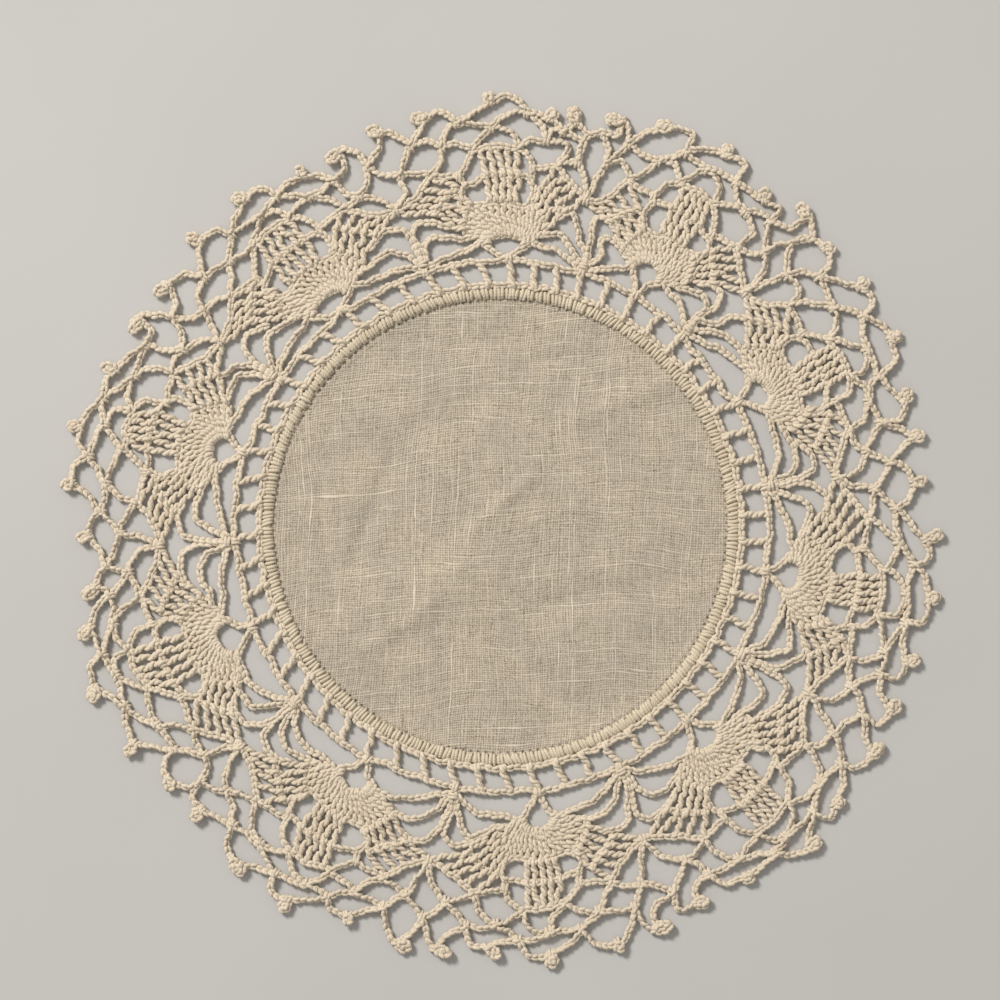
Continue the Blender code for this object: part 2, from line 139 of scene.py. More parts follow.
# Each fan's root and loop, and the spider and the joining point after it. before and after count
# the squares on each side of that spider, and lean is how far the posts slant at the root.
FANS = table(
    "root_a hole_a hole_half hole_low_r hole_high_r spider_a join_a join_r before after lean",
    (27.7, 27.3, 2.4, 281, 298, 46.4, 43.8, 338, 3, 2, 0.6),
    (59.8, 60.0, 2.1, 282, 301, 72.3, 75.3, 337, 2, 3, 0.0),
    (88.2, 88.9, 3.0, 279, 289, 106.5, 108.4, 332, 3, 3, -1.2),
    (126.5, 127.3, 3.2, 276, 287, 146.5, 146.6, 335, 3, 3, -2.6),
    (163.9, 164.8, 2.4, 278, 297, 183.2, 183.2, 341, 3, 3, -2.2),
    (202.0, 202.3, 2.6, 280, 303, 220.6, 220.2, 340, 3, 3, -2.0),
    (240.3, 240.1, 2.5, 281, 300, 260.1, 258.0, 341, 3, 3, -2.6),
    (278.1, 277.4, 2.3, 283, 303, 296.3, 294.6, 343, 3, 3, -1.2),
    (313.9, 314.0, 2.4, 283, 303, 331.9, 331.6, 349, 3, 3, 0.1),
    (350.3, 350.4, 2.5, 281, 302, 368.6, 368.4, 339, 3, 3, 0.3),
)
# The tops of a fan's two leaves, and the upper corners of the block between them.
TOPS = table(
    "right_a right_r corner_a corner_r far_corner_a far_corner_r left_a left_r",
    (15.8, 362, 23.3, 379, 29.8, 377, 37.5, 363),
    (49.9, 365, 56.5, 385, 62.5, 387, 69.8, 368),
    (81.0, 364, 87.2, 378, 94.3, 377, 101.3, 357),
    (116.4, 354, 124.3, 373, 131.5, 373, 139.7, 353),
    (154.8, 361, 162.6, 385, 168.4, 384, 176.2, 363),
    (191.0, 366, 198.3, 391, 204.9, 387, 213.6, 367),
    (228.4, 366, 237.0, 386, 243.7, 383, 251.7, 369),
    (265.8, 367, 273.5, 383, 279.7, 381, 287.5, 370),
    (303.0, 372, 310.2, 399, 316.4, 397, 324.4, 373),
    (339.5, 371, 346.8, 386, 353.7, 384, 361.3, 368),
)
# The gaps on the two sides of the block, with half of their widths in degrees.
HOLES = table(
    "right_a right_half right_low_r right_high_r left_a left_half left_low_r left_high_r",
    (21.7, 1.4, 328, 347, 30.8, 1.8, 332, 352),
    (55.0, 1.3, 337, 352, 63.4, 1.4, 333, 358),
    (85.8, 0.8, 325, 348, 94.4, 1.7, 326, 341),
    (122.6, 1.2, 323, 343, 132.9, 1.4, 320, 338),
    (160.1, 1.2, 330, 355, 169.6, 1.55, 332, 355),
    (197.2, 1.1, 336, 357, 207.3, 1.3, 336, 355),
    (234.8, 1.3, 330, 354, 244.5, 2.0, 334, 353),
    (272.2, 1.7, 336, 350, 281.5, 1.5, 336, 351),
    (309.0, 1.6, 337, 360, 318.0, 1.8, 337, 361),
    (345.1, 1.8, 335, 356, 354.4, 2.0, 335, 356),
)

# The three rounds of arches: five crests a fan and, in the last round, the feet of the picots
# there and their tips.
FIVE_POINTS = "p0_a p0_r p1_a p1_r p2_a p2_r p3_a p3_r p4_a p4_r"
FIRST_CRESTS = table(
    FIVE_POINTS,
    (11.8, 372, 18.8, 388, 25.6, 406, 33.3, 397, 41.3, 380),
    (46.0, 379, 52.0, 398, 60.2, 411, 66.6, 397, 73.8, 377),
    (78.0, 371, 83.2, 388, 91.3, 398, 98.8, 382, 105.9, 364),
    (113.2, 358, 120.0, 380, 128.0, 391, 135.6, 378, 144.0, 365),
    (150.8, 362, 157.6, 394, 165.5, 408, 173.7, 396, 181.0, 380),
    (187.0, 374, 194.0, 398, 201.0, 411, 210.0, 396, 217.6, 373),
    (223.8, 380, 232.8, 397, 241.5, 406, 248.2, 392, 255.8, 378),
    (261.8, 378, 269.3, 397, 276.8, 408, 284.3, 396, 291.6, 381),
    (298.9, 380, 305.6, 407, 312.7, 420, 321.3, 408, 328.3, 390),
    (335.5, 384, 342.0, 402, 350.7, 410, 357.9, 397, 365.8, 374),
)
SECOND_CRESTS = table(
    FIVE_POINTS,
    (15.3, 393, 21.8, 406, 30.0, 418, 38.3, 403, 44.3, 405),
    (48.6, 405, 55.6, 415, 63.7, 416, 71.5, 402, 75.7, 405),
    (81.0, 399, 86.5, 414, 96.2, 405, 103.4, 389, 110.4, 382),
    (115.7, 382, 124.0, 398, 132.7, 396, 140.0, 386, 147.4, 387),
    (153.0, 397, 162.0, 416, 170.3, 417, 178.0, 399, 185.8, 395),
    (190.0, 395, 197.8, 417, 205.5, 415, 214.5, 394, 220.3, 392),
    (228.1, 400, 237.0, 413, 244.9, 408, 253.0, 396, 258.7, 397),
    (265.1, 400, 272.5, 413, 281.3, 410, 289.4, 403, 295.4, 402),
    (301.0, 404, 310.3, 425, 317.7, 422, 325.2, 413, 332.6, 407),
    (338.8, 406, 346.6, 415, 354.8, 414, 362.8, 394, 369.4, 394),
)
PICOT_FEET = table(
    FIVE_POINTS,
    (17.0, 422, 25.7, 432, 33.8, 430, 41.2, 427, 45.0, 437),
    (51.0, 418, 58.8, 433, 66.8, 434, 73.2, 424, 79.3, 410),
    (83.4, 410, 91.5, 423, 100.0, 415, 106.8, 411, 113.3, 408),
    (119.2, 401, 127.7, 414, 136.3, 413, 143.8, 410, 149.8, 416),
    (157.7, 414, 166.7, 431, 174.2, 430, 181.3, 411, 188.5, 408),
    (193.8, 421, 201.5, 436, 210.7, 424, 217.0, 417, 223.5, 411),
    (231.0, 426, 240.3, 429, 248.3, 417, 255.8, 428, 261.0, 427),
    (268.0, 421, 276.8, 430, 285.8, 433, 290.8, 431, 297.3, 424),
    (304.5, 426, 313.6, 445, 320.5, 435, 328.0, 436, 334.5, 431),
    (341.5, 427, 350.0, 434, 358.2, 424, 366.0, 415, 372.2, 420),
)
PICOT_TIPS = table(
    FIVE_POINTS,
    (18.6, 430, 25.6, 443, 33.8, 441, 39.6, 431, 47.2, 437),
    (52.0, 428, 59.0, 443, 68.6, 430, 75.3, 420, 80.3, 424),
    (82.4, 419, 91.6, 433, 102.2, 417, 108.6, 417, 115.4, 403),
    (119.4, 412, 129.2, 423, 137.2, 426, 146.0, 415, 152.2, 416),
    (158.0, 428, 166.8, 442, 174.6, 439, 181.7, 422, 189.7, 422),
    (194.9, 434, 203.2, 443, 211.4, 437, 218.7, 421, 223.5, 425),
    (233.3, 433, 240.4, 441, 249.3, 424, 257.9, 430, 263.3, 430),
    (269.8, 429, 276.6, 443, 286.0, 440, 293.2, 433, 299.0, 428),
    (305.8, 431, 315.6, 446, 321.4, 436, 330.2, 438, 336.4, 434),
    (342.3, 438, 351.2, 442, 359.1, 440, 366.4, 427, 372.1, 432),
)

# How far the arches bend out of the straight line: r halfway up to the crest, l halfway down.
HALVES = "r0 l0 r1 l1 r2 l2 r3 l3 r4 l4"
FIRST_BENDS = table(
    HALVES,
    (10, -5, 7, 6, 8, 2, 6, 4, 12, 0),
    (7, -4, 12, 3, 10, 0, 10, -2, 12, 0),
    (4, 3, 18, 5, 8, 2, 6, -5, 3, -8),
    (4, -2, 4, 3, 7, 0, 0, -1, 4, 0),
    (5, 5, 7, 6, 8, 2, 3, 4, 4, -3),
    (9, 0, 4, 5, 8, 3, 4, -3, 4, -2),
    (5, -2, 8, 4, 7, 2, 0, -3, 1, -2),
    (7, 1, 6, 2, 10, -3, 4, 1, 6, -2),
    (7, 3, 6, 1, 6, 5, 6, 5, 7, 0),
    (11, -1, 7, 1, 12, 6, 5, 1, 2, -3),
)
SECOND_BENDS = table(
    HALVES,
    (0, 1, -4, 1, -2, 3, 2, 4, -2, 4),
    (-1, 6, -3, 4, 1, 0, -2, 0, 5, 10),
    (14, 6, 5, 6, 2, 5, 7, 2, -4, -4),
    (-5, -1, 1, 1, 1, 1, 2, 6, -5, -2),
    (-3, 2, 0, 3, 2, 1, -1, -2, -1, -1),
    (-1, 0, 1, 2, 0, 3, -1, -1, -5, 3),
    (-3, 1, 1, 2, -1, -2, 0, -1, 1, 3),
    (0, 3, -1, 4, 0, 1, 1, 1, 0, 2),
    (-2, 3, 1, 2, 1, 0, 1, 3, -1, 4),
    (-1, 3, 0, 4, 0, 1, 0, 0, 3, -1),
)
PICOT_BENDS = table(
    HALVES,
    (10, 0, 12, 6, 13, 1, 12, 6, 13, -8),
    (14, 2, 16, 6, 16, 4, 4, -10, -4, 0),
    (4, 2, 13, -1, 8, 0, 4, -3, 8, -8),
    (3, 4, 10, 3, 8, 3, 7, -4, 3, -7),
    (3, 5, 4, 5, 7, -2, 6, -2, 4, -3),
    (6, 1, 9, 0, 4, 1, 7, 8, 9, 1),
    (6, 1, 12, 1, 7, 1, 5, 5, 1, -3),
    (9, -2, 11, 4, 9, 5, 3, -9, 13, -7),
    (9, 4, 5, -1, 12, 5, 7, -1, 12, -5),
    (11, -3, 11, 6, 12, 1, 7, 7, 0, 3),
)

# The legs of a fan's loop, from its middle: a share of its half width, and a rise over it.
LEG = table("share rise_r", (0.75, -9), (1.7, 2))

# The three arches of each side, from the fan out to the spider: a right and a left row a fan.
# t is 0 on the fan's middle line and 18 on the spider's line.
FOUR_POINTS = "p0_t p0_r p1_t p1_r p2_t p2_r p3_t p3_r"
LOW_ARCHES = table(
    FOUR_POINTS,
    (7, 288, 10.5, 288, 13.6, 285, 15.8, 278),
    (8.6, 285.5, 11.2, 281, 13.8, 274.6, 16.4, 270),
    (7, 288.5, 10.5, 287.5, 13.2, 282, 15.5, 276),
    (6.5, 287, 9, 282.5, 12, 277.5, 15, 272),
    (7, 283, 10, 281.5, 13, 278, 15.5, 273.5),
    (7.3, 279, 10, 277, 12.5, 274.5, 15, 272),
    (7, 278, 10, 276.5, 13, 275.5, 15.5, 274),
    (7.3, 281, 10, 279.5, 13, 276.5, 15.5, 273),
    (7, 285.5, 10, 284, 13, 280.5, 15.5, 275.5),
    (7.3, 287.5, 10, 284.5, 13, 280, 15.5, 275.5),
    (7, 287, 10, 285, 13, 281.5, 15.5, 275.5),
    (7.3, 295, 10.5, 294, 13, 287.5, 15.3, 280),
    (6.5, 291, 9.7, 293, 12.5, 291.5, 15, 284),
    (7.3, 290.5, 10, 286, 13, 280, 15.5, 274),
    (6.7, 289.5, 10, 288.5, 13, 286, 15.3, 278.5),
    (7.3, 291.5, 10, 289, 13, 284.5, 15.4, 277.5),
    (6.7, 293.5, 10, 290.5, 13, 284.5, 15.3, 278),
    (7.3, 293, 10, 290.5, 13, 284.5, 15.4, 278),
    (6.5, 293.5, 10, 292.5, 13, 289, 15.3, 282),
    (7.3, 289.5, 10, 287.5, 13, 281.5, 15.4, 275),
)
MIDDLE_ARCHES = table(
    FOUR_POINTS,
    (8.4, 298, 10.8, 302, 13.5, 304, 16, 296),
    (8, 297, 11.2, 297, 13.3, 292, 15.1, 284),
    (8.5, 297, 11.5, 304, 14.2, 306.5, 16.6, 300),
    (9.5, 304.5, 12.8, 308, 14.9, 299, 13.9, 288),
    (8.2, 295, 10.5, 298, 12.8, 293, 14.7, 282),
    (9, 290, 12, 293.5, 14.3, 296, 16.3, 291.5),
    (8.4, 290, 11, 294.5, 13.3, 295.5, 15.4, 288.5),
    (8.6, 295, 11.2, 299, 13.6, 298.5, 15.4, 288),
    (8.5, 299.5, 11.5, 303, 14.3, 302, 15.8, 292.5),
    (8.6, 301, 11.5, 305, 14, 302.5, 15.4, 290),
    (8.4, 298, 11.2, 303, 13.8, 302.5, 16, 294),
    (8.6, 306.5, 11.5, 309, 13.6, 305.5, 15.1, 293),
    (8.8, 301, 11.5, 306.5, 14, 305, 16, 297.5),
    (8.6, 305, 11, 306, 13.3, 301, 15.2, 290),
    (8.8, 300.5, 11, 307, 13.4, 310.5, 15.4, 301),
    (8.6, 304.5, 11.2, 305, 13.4, 300.5, 15.3, 289.5),
    (8.4, 304.5, 11.3, 310, 14, 307, 16.2, 297.5),
    (8.4, 304, 11, 309.5, 13.4, 310.5, 15.3, 297.5),
    (8.4, 302.5, 11, 310, 13, 312.5, 15, 299.5),
    (8.6, 303, 11.5, 308.5, 13.7, 308, 15, 294),
)
HIGH_ARCHES = table(
    FOUR_POINTS,
    (12.3, 313, 14.5, 320, 16, 317.5, 17.3, 305),
    (12, 319, 13.9, 319, 14.9, 309, 15.4, 294),
    (12.6, 318, 14.3, 321.5, 16, 320.5, 17.5, 312),
    (12, 323, 14.3, 325, 16.3, 320, 17.3, 305),
    (12.5, 318, 14, 320.5, 15.2, 312, 15.7, 295),
    (12.3, 308, 14.3, 312, 16.2, 313, 17.4, 306),
    (12, 311, 14, 316, 16, 315.5, 17.4, 309),
    (12.7, 312, 14.6, 316, 16.3, 314, 17.5, 302),
    (12.5, 318, 14, 313, 16, 308.5, 17.3, 298),
    (12.7, 322.5, 14.8, 321, 16.6, 315, 17.4, 302),
    (12, 321, 14, 323, 16, 319, 17.4, 309.5),
    (12.3, 323, 14.6, 323.5, 16.4, 317, 17.4, 306),
    (12.3, 319, 14, 322, 15.8, 321, 17.4, 312),
    (12.3, 324, 14.6, 324.5, 16.3, 318.5, 17.2, 305),
    (11.7, 314.5, 14, 320, 16, 320.5, 17.5, 312),
    (11.5, 320.5, 14, 324, 15.9, 321, 16.6, 309),
    (12, 324, 14.2, 327, 16.4, 326.5, 17.7, 321),
    (11.5, 325.5, 14, 330, 16.5, 328.5, 17.7, 320),
    (12.3, 329, 14, 325, 15.6, 316.5, 17.2, 308.5),
    (12.3, 327, 14.4, 328, 16.1, 323, 17.4, 312),
)

# On each side of a fan: how far the leaf's edge sags inward, where the chain round runs, and how
# far the block's outer strand bows, as a share of the way to its corner.
SIDES_OF_FAN = table(
    "right_sag_r left_sag_r right_ring_r left_ring_r right_bow left_bow",
    (3.5, 8, 266.8, 261, 0.55, -0.05),
    (1, 10, 265.5, 267.3, 0.2, 0.35),
    (1, 6, 265.7, 265.3, 0.35, -0.15),
    (6, 5, 264.3, 264.5, 0.3, 0.0),
    (6, 5.5, 264, 267, 0.5, -0.1),
    (4, 4, 265, 267, 0.45, -0.1),
    (6, 5, 267.5, 263.5, 0.4, -0.1),
    (3.5, 5, 265.3, 267.7, 0.4, 0.15),
    (4.5, 5, 268.8, 269.5, 0.35, 0.25),
    (2, 2.5, 269.3, 268, 0.4, 0.0),
)

# The strands of a leaf, from the fan's flank to their middle knots. A rise_r counts from the high
# arch. share is how far along the leaf's edge, from the joining point to its top, each one ends.
LEAF = table(
    "foot_t foot_rise_r knot_t knot_rise_r share",
    (8.5, -16, 12.6, 3, 0.0),
    (7.9, -9, 11.3, 9.5, 0.28),
    (7.1, -3, 10.0, 15, 0.52),
    (6.3, 3, 8.8, 20.5, 0.76),
    (5.5, 8, 7.6, 26, 1.0),
)
# The rim of the dense stitches beside the leaf.
FLANK = table("t rise_r", (8.4, -21), (7.9, -12), (6.8, -3), (5.7, 4))

# One chain stitch, a loop of thread: u along the chain in stitches, v across, w up.
HALF_STITCH = (
    (0.22, 0.40, 0.90, 0.92),
    (0.56, 0.80, 1.45, 1.04),
    (0.92, 1.02, 0.90, 1.04),
    (1.17, 0.72, -0.50, 0.92),
)
STITCH = table(
    "u v w girth",
    (0.00, 0.00, -0.70, 0.84),
    *HALF_STITCH,
    (1.24, 0.00, -1.60, 0.84),
    *((u, -v, w, girth) for u, v, w, girth in reversed(HALF_STITCH)),
)

# One close stitch of the band, from the linen out to the braid, and the swell of its thread.
RIB = table(
    "share r z girth",
    (0, 227.4, 0.8, 0.8),
    (0.07, 228.3, 2.7, 0.98),
    (0.3, 231.0, 4.4, 1.08),
    (0.65, 234.9, 4.5, 1.08),
    (0.9, 237.9, 3.3, 0.98),
    (1, 239.1, 1.7, 0.85),
)

# Soft folds that the cloth keeps: a line from start to end, its half width and its height.
FOLDS = table(
    "start_x start_y end_x end_y width height",
    (-126, -118, -74, -80, 10, 2.1),
    (-100, -72, -42, -56, 27, 3.3),
    (-62, -47, -38, -40, 6, 0.8),
    (-24, -2, 28, 47, 8, 1.6),
    (-178, 44, -179, -8, 5, -1.3),
    (-179, -8, -164, -78, 6, -1.6),
    (-111, 60, -149, -38, 8.5, -1.9),
    (72, 106, 160, 142, 11, 2.0),
    (-84, 98, -28, 122, 13, -2.8),
    (-38, 186, 12, 190, 8, -1.7),
    (20, 158, 54, 167, 7, -1.0),
    (76, 173, 104, 171, 6, -0.9),
    (55, -78, 165, -56, 11, -2.1),
    (-100, -165, -35, -184, 15, -1.8),
    (50, -186, 112, -172, 14, -1.6),
    (-128, 142, -110, 130, 7, -1.2),
    (-150, 87, -130, 87, 4, -0.7),
    (-168, 132, -148, 144, 6, -1.0),
    (-100, 190, -62, 190, 8, -1.4),
)


# -------- layout


def place_of(point, z=0.0):
    """The place in space of an (angle, radius) point."""
    angle = math.radians(point[0])
    return np.array([math.cos(angle) * point[1], math.sin(angle) * point[1], z])


def polar_of(place):
    return (math.degrees(math.atan2(place[1], place[0])), math.hypot(place[0], place[1]))


def unit(vectors):
    return vectors / np.maximum(np.linalg.norm(vectors, axis=-1, keepdims=True), 1e-9)


def leftward(way):
    """The level directions to the left of the given ones."""
    return np.stack([-way[..., 1], way[..., 0], np.zeros_like(way[..., 0])], -1)


def part_way(start, end, share):
    return start + (end - start) * share


def between(start, end, share):
    return tuple(part_way(a, b, share) for a, b in zip(start, end))


def around(rows, fan, name):
    """The named point of a fan's row. Fans -1 and 10 are the last and the first, a turn away."""
    row = rows[fan % FAN_COUNT]
    turn = 360.0 * (fan // FAN_COUNT)
    return (getattr(row, name + "_a") + turn, getattr(row, name + "_r", CHAIN_R))


def crest(rows, number):
    fan, place = divmod(number, ARCHES_A_FAN)
    return around(rows, fan, f"p{place}")


def bowed(start, end, bend):
    """The point that is the bend out of the middle of a straight line, away from the centre."""
    start, end = place_of(start), place_of(end)
    return polar_of((start + end) / 2 - leftward(unit(end - start)) * bend)


def arch(start, top, end, bends, number):
    fan, place = divmod(number, ARCHES_A_FAN)
    row = bends[fan % FAN_COUNT]
    rising, falling = getattr(row, f"r{place}"), getattr(row, f"l{place}")
    return [start, bowed(start, top, rising), top, bowed(top, end, falling), end]


class Side:
    """One half of a fan, from its middle line out to the spider beside it."""

    def __init__(self, fan, way):
        beside = fan if way > 0 else fan - 1
        name = "left" if way > 0 else "right"
        number = fan % FAN_COUNT
        self.way = way
        self.number = number * 2 + (way > 0)
        self.root = around(FANS, fan, "root")[0]
        self.spider = around(FANS, beside, "spider")[0]
        self.join = around(FANS, beside, "join")
        self.top = around(TOPS, fan, name)
        self.corner = around(TOPS, fan, "far_corner" if way > 0 else "corner")
        self.link = (between(self.corner, self.top, LINK_SHARE)[0], self.top[1] - LINK_DROP_R)
        self.high_arch_r = self.join[1] - HIGH_ARCH_DROP_R
        self.hole = around(FANS, fan, "hole")[0]
        self.hole_half = FANS[number].hole_half
        self.loop_r = (FANS[number].hole_low_r + FANS[number].hole_high_r) / 2
        self.loop_top_r = FANS[number].hole_high_r
        self.gap_a = around(HOLES, fan, name)[0]
        for column in ("half", "low_r", "high_r"):
            setattr(self, "gap_" + column, getattr(HOLES[number], f"{name}_{column}"))
        for column in ("sag_r", "ring_r", "bow"):
            setattr(self, column, getattr(SIDES_OF_FAN[number], f"{name}_{column}"))
        self.gap_middle_r = (self.gap_low_r + self.gap_high_r) / 2

    def at(self, t, radius):
        """The point t of 18 parts of the way from the fan's middle line to the spider's line."""
        share = min(max((radius - SPIDER_TOP_R) / (self.join[1] - SPIDER_TOP_R), 0), 1)
        edge = part_way(self.spider, self.join[0], share)
        return (self.root + (edge - self.root) * t / HALF_FAN, radius)

    def beside_hole(self, number):
        row = LEG[number]
        return (self.hole + self.way * self.hole_half * row.share, self.loop_r + row.rise_r)

    def round_gap(self, *turns):
        """Points on the strand round the side's gap, from 0 beside the leaf to 90 outward."""
        wide = self.gap_half + math.degrees(GAP_DROP_R / self.gap_middle_r)
        high = (self.gap_high_r - self.gap_low_r) / 2 + GAP_DROP_R
        points = []
        for across, rise, _ in (place_of((turn, 1.0)) for turn in turns):
            points.append((self.gap_a + self.way * wide * across, self.gap_middle_r + high * rise))
        return points

    def arches(self):
        """The three arches from the fan to the spider, the low one first."""
        rows = [arches[self.number] for arches in (LOW_ARCHES, MIDDLE_ARCHES, HIGH_ARCHES)]
        low, middle, high = ([self.at(t, r) for t, r in zip(row[::2], row[1::2])] for row in rows)
        middle_start = self.at(MIDDLE_ARCH_T, self.loop_r + MIDDLE_ARCH_RISE_R)
        high_start = self.at(rows[2].p0_t - 1.7, rows[2].p0_r - 6)
        high_end = [self.at(17.8, SPIDER_FOOT_R + 17), self.at(17.9, SPIDER_FOOT_R + 7)]
        return (
            [self.beside_hole(1)] + low + [self.at(18, SPIDER_FOOT_R)],
            [middle_start] + middle + [self.at(17.2, SPIDER_FOOT_R + 6)],
            [high_start] + high + high_end,
        )

    def leaf_edge(self, share):
        angle, radius = between(self.join, self.top, share)
        return (angle, radius - self.sag_r * 4 * share * (1 - share))

    def gap_shift(self):
        """How many parts the leaf's inner strands move outward to pass beside the gap."""
        outer = self.gap_a + self.way * self.gap_half
        part = self.at(1, self.gap_middle_r)[0] - self.at(0, self.gap_middle_r)[0]
        wanted = (outer - self.root) / part - GAP_CLEAR_T - LEAF[-1].foot_t
        return min(max(wanted, 0), GAP_SHIFT_MOST_T)

    def flank(self):
        """The rim of the dense stitches from the leaf's side to the gap."""
        shift = self.gap_shift()
        level = self.high_arch_r
        return [self.at(row.t + shift * n / 3, level + row.rise_r) for n, row in enumerate(FLANK)]

    def gap_floor(self):
        """The two ends of the rim's straight part under the gap, the outer one first."""
        reach = self.way * self.gap_half * 0.75
        low = self.gap_low_r - GAP_DROP_R - 1.0
        return [(self.gap_a + reach, low), (self.gap_a - reach, low)]

    def block_side(self):
        """The middle of the strand from the link to the block's corner, with its own bow."""
        middle = between(self.corner, self.link, 0.5)
        return between(middle, (self.link[0], self.corner[1]), self.bow)


def first_arch(number):
    fan, place = divmod(number, ARCHES_A_FAN)
    right, left = Side(fan, -1), Side(fan, 1)
    ends = (right.join, right.top, right.corner, left.corner, left.top, left.join)
    top = crest(FIRST_CRESTS, number)
    return arch(ends[place], top, ends[place + 1], FIRST_BENDS, number)


def outer_arch(feet, tops, bends, number):
    """An arch of the second or third round, from one crest of the round inside to the next."""
    return arch(crest(feet, number), crest(tops, number), crest(feet, number + 1), bends, number)


# -------- lines and tubes


class Line:
    """A smooth line through (angle, radius) points, measured along its length."""

    def __init__(self, points, z=CHAIN_Z):
        """z is one height for all the points, or a list with one for each."""
        knots = np.array([place_of(point) for point in points])
        knots[:, 2] = z
        self.points = smooth(knots)
        steps = np.linalg.norm(np.diff(self.points, axis=0), axis=1)
        self.marks = np.concatenate([[0], np.cumsum(steps)])
        self.length = self.marks[-1]

    def on_line(self, s):
        return np.stack([np.interp(s, self.marks, axis) for axis in self.points.T], -1)

    def at(self, s):
        """Points at the lengths s, going straight on past both ends."""
        inside = np.clip(s, 0, self.length)
        return self.on_line(inside) + self.heading(s) * (s - inside)[..., None]

    def heading(self, s):
        middle = np.clip(s, 1.0, max(self.length - 1.0, 1.0))
        ahead, behind = np.minimum(middle + 1, self.length), np.maximum(middle - 1, 0)
        step = self.on_line(ahead) - self.on_line(behind)
        step[..., 2] = 0
        return unit(step)

    def left(self, s):
        return leftward(self.heading(s))


def smooth(knots, pieces=10):
    """A Catmull-Rom line through the knots, closed if the first knot is also the last."""
    closed = np.allclose(knots[0], knots[-1])
    gaps = np.maximum(np.linalg.norm(np.diff(knots, axis=0), axis=1), 1e-6) ** 0.5
    rates = np.diff(knots, axis=0) / gaps[:, None]
    slopes = np.empty_like(knots)
    share = (gaps[:-1] / (gaps[:-1] + gaps[1:]))[:, None]
    slopes[1:-1] = rates[:-1] * (1 - share) + rates[1:] * share
    slopes[0], slopes[-1] = rates[0], rates[-1]
    if closed:
        slopes[0] = slopes[-1] = (rates[0] + rates[-1]) / 2
    x = np.linspace(0, 1, pieces, endpoint=False)[:, None]
    out = []
    for n, gap in enumerate(gaps):
        line = knots[n] * (1 + 2 * x) * (1 - x) ** 2 + slopes[n] * gap * x * (1 - x) ** 2
        line = line + knots[n + 1] * x**2 * (3 - 2 * x)
        out.append(line + slopes[n + 1] * gap * x**2 * (x - 1))
    return np.concatenate(out + [knots[-1:]])


class Work:
    """Tubes of thread gathered into one mesh."""

    def __init__(self, name):
        self.name = name
        self.verts, self.quads, self.caps, self.uvs = [], [], [], []
        self.count = 0

    def tubes(self, paths, radius, up, closed=False, taper=1.0, wide=1.0):
        """Tubes round paths (K, N, 3). up is a direction that no path runs along."""
        paths = np.asarray(paths, float)
        many, long, _ = paths.shape
        if closed:
            ahead = np.roll(paths, -1, axis=1) - np.roll(paths, 1, axis=1)
        else:
            ahead = np.gradient(paths, axis=1)
        ahead = unit(ahead)
        side = unit(np.cross(ahead, np.broadcast_to(up, paths.shape)))
        over = np.cross(side, ahead)
        turn = np.arange(SIDES) * math.tau / SIDES
        girth = np.broadcast_to(radius, (many, long)).astype(float).copy()
        if not closed:
            girth[:, 0] *= taper
            girth[:, -1] *= taper
        ring = side[:, :, None] * np.cos(turn)[:, None] * wide
        ring = ring + over[:, :, None] * np.sin(turn)[:, None]
        verts = paths[:, :, None] + ring * girth[:, :, None, None]
        index = self.count + np.arange(many * long * SIDES).reshape(many, long, SIDES)
        here = index if closed else index[:, :-1]
        there = np.roll(index, -1, axis=1) if closed else index[:, 1:]
        quads = np.stack([here, there, np.roll(there, -1, -1), np.roll(here, -1, -1)], -1)
        self.verts.append(verts.reshape(-1, 3))
        self.quads.append(quads.reshape(-1, 4))
        self.uvs.append(self.thread_uv(paths, here.shape))
        if not closed:
            self.caps.append(np.concatenate([index[:, 0], index[:, -1, ::-1]]))
        self.count += many * long * SIDES

    def thread_uv(self, paths, shape):
        """For each corner of each quad, how far along the thread and how far round it."""
        steps = np.linalg.norm(np.roll(paths, -1, axis=1) - paths, axis=-1)
        reach = np.concatenate([np.zeros((len(paths), 1)), np.cumsum(steps, axis=1)], axis=1)
        low = np.broadcast_to(reach[:, : shape[1], None], shape)
        high = np.broadcast_to(reach[:, 1 : shape[1] + 1, None], shape)
        start = np.broadcast_to(np.arange(SIDES) / SIDES, shape)
        end = start + 1 / SIDES
        corners = ((low, start), (high, start), (high, end), (low, end))
        return np.stack([np.stack(corner, -1) for corner in corners], -2).reshape(-1, 2)

    def mesh(self):
        faces = np.concatenate(self.quads).tolist() + np.concatenate(self.caps).tolist()
        return new_mesh(self.name, np.concatenate(self.verts), faces, np.concatenate(self.uvs))


def new_mesh(name, verts, faces, uv=()):
    """A smooth mesh from points in layout units. uv is for the corners of the first faces."""
    mesh = bpy.data.meshes.new(name)
    mesh.from_pydata((verts * THIRD).tolist(), [], faces)
    mesh.polygons.foreach_set("use_smooth", np.ones(len(faces), bool))
    if len(uv):
        corners = np.zeros((len(mesh.loops), 2), np.float32)
        corners[: len(uv)] = uv
        mesh.uv_layers.new(name="UVMap").data.foreach_set("uv", corners.ravel())
    mesh.validate()
    return mesh


# -------- stitches


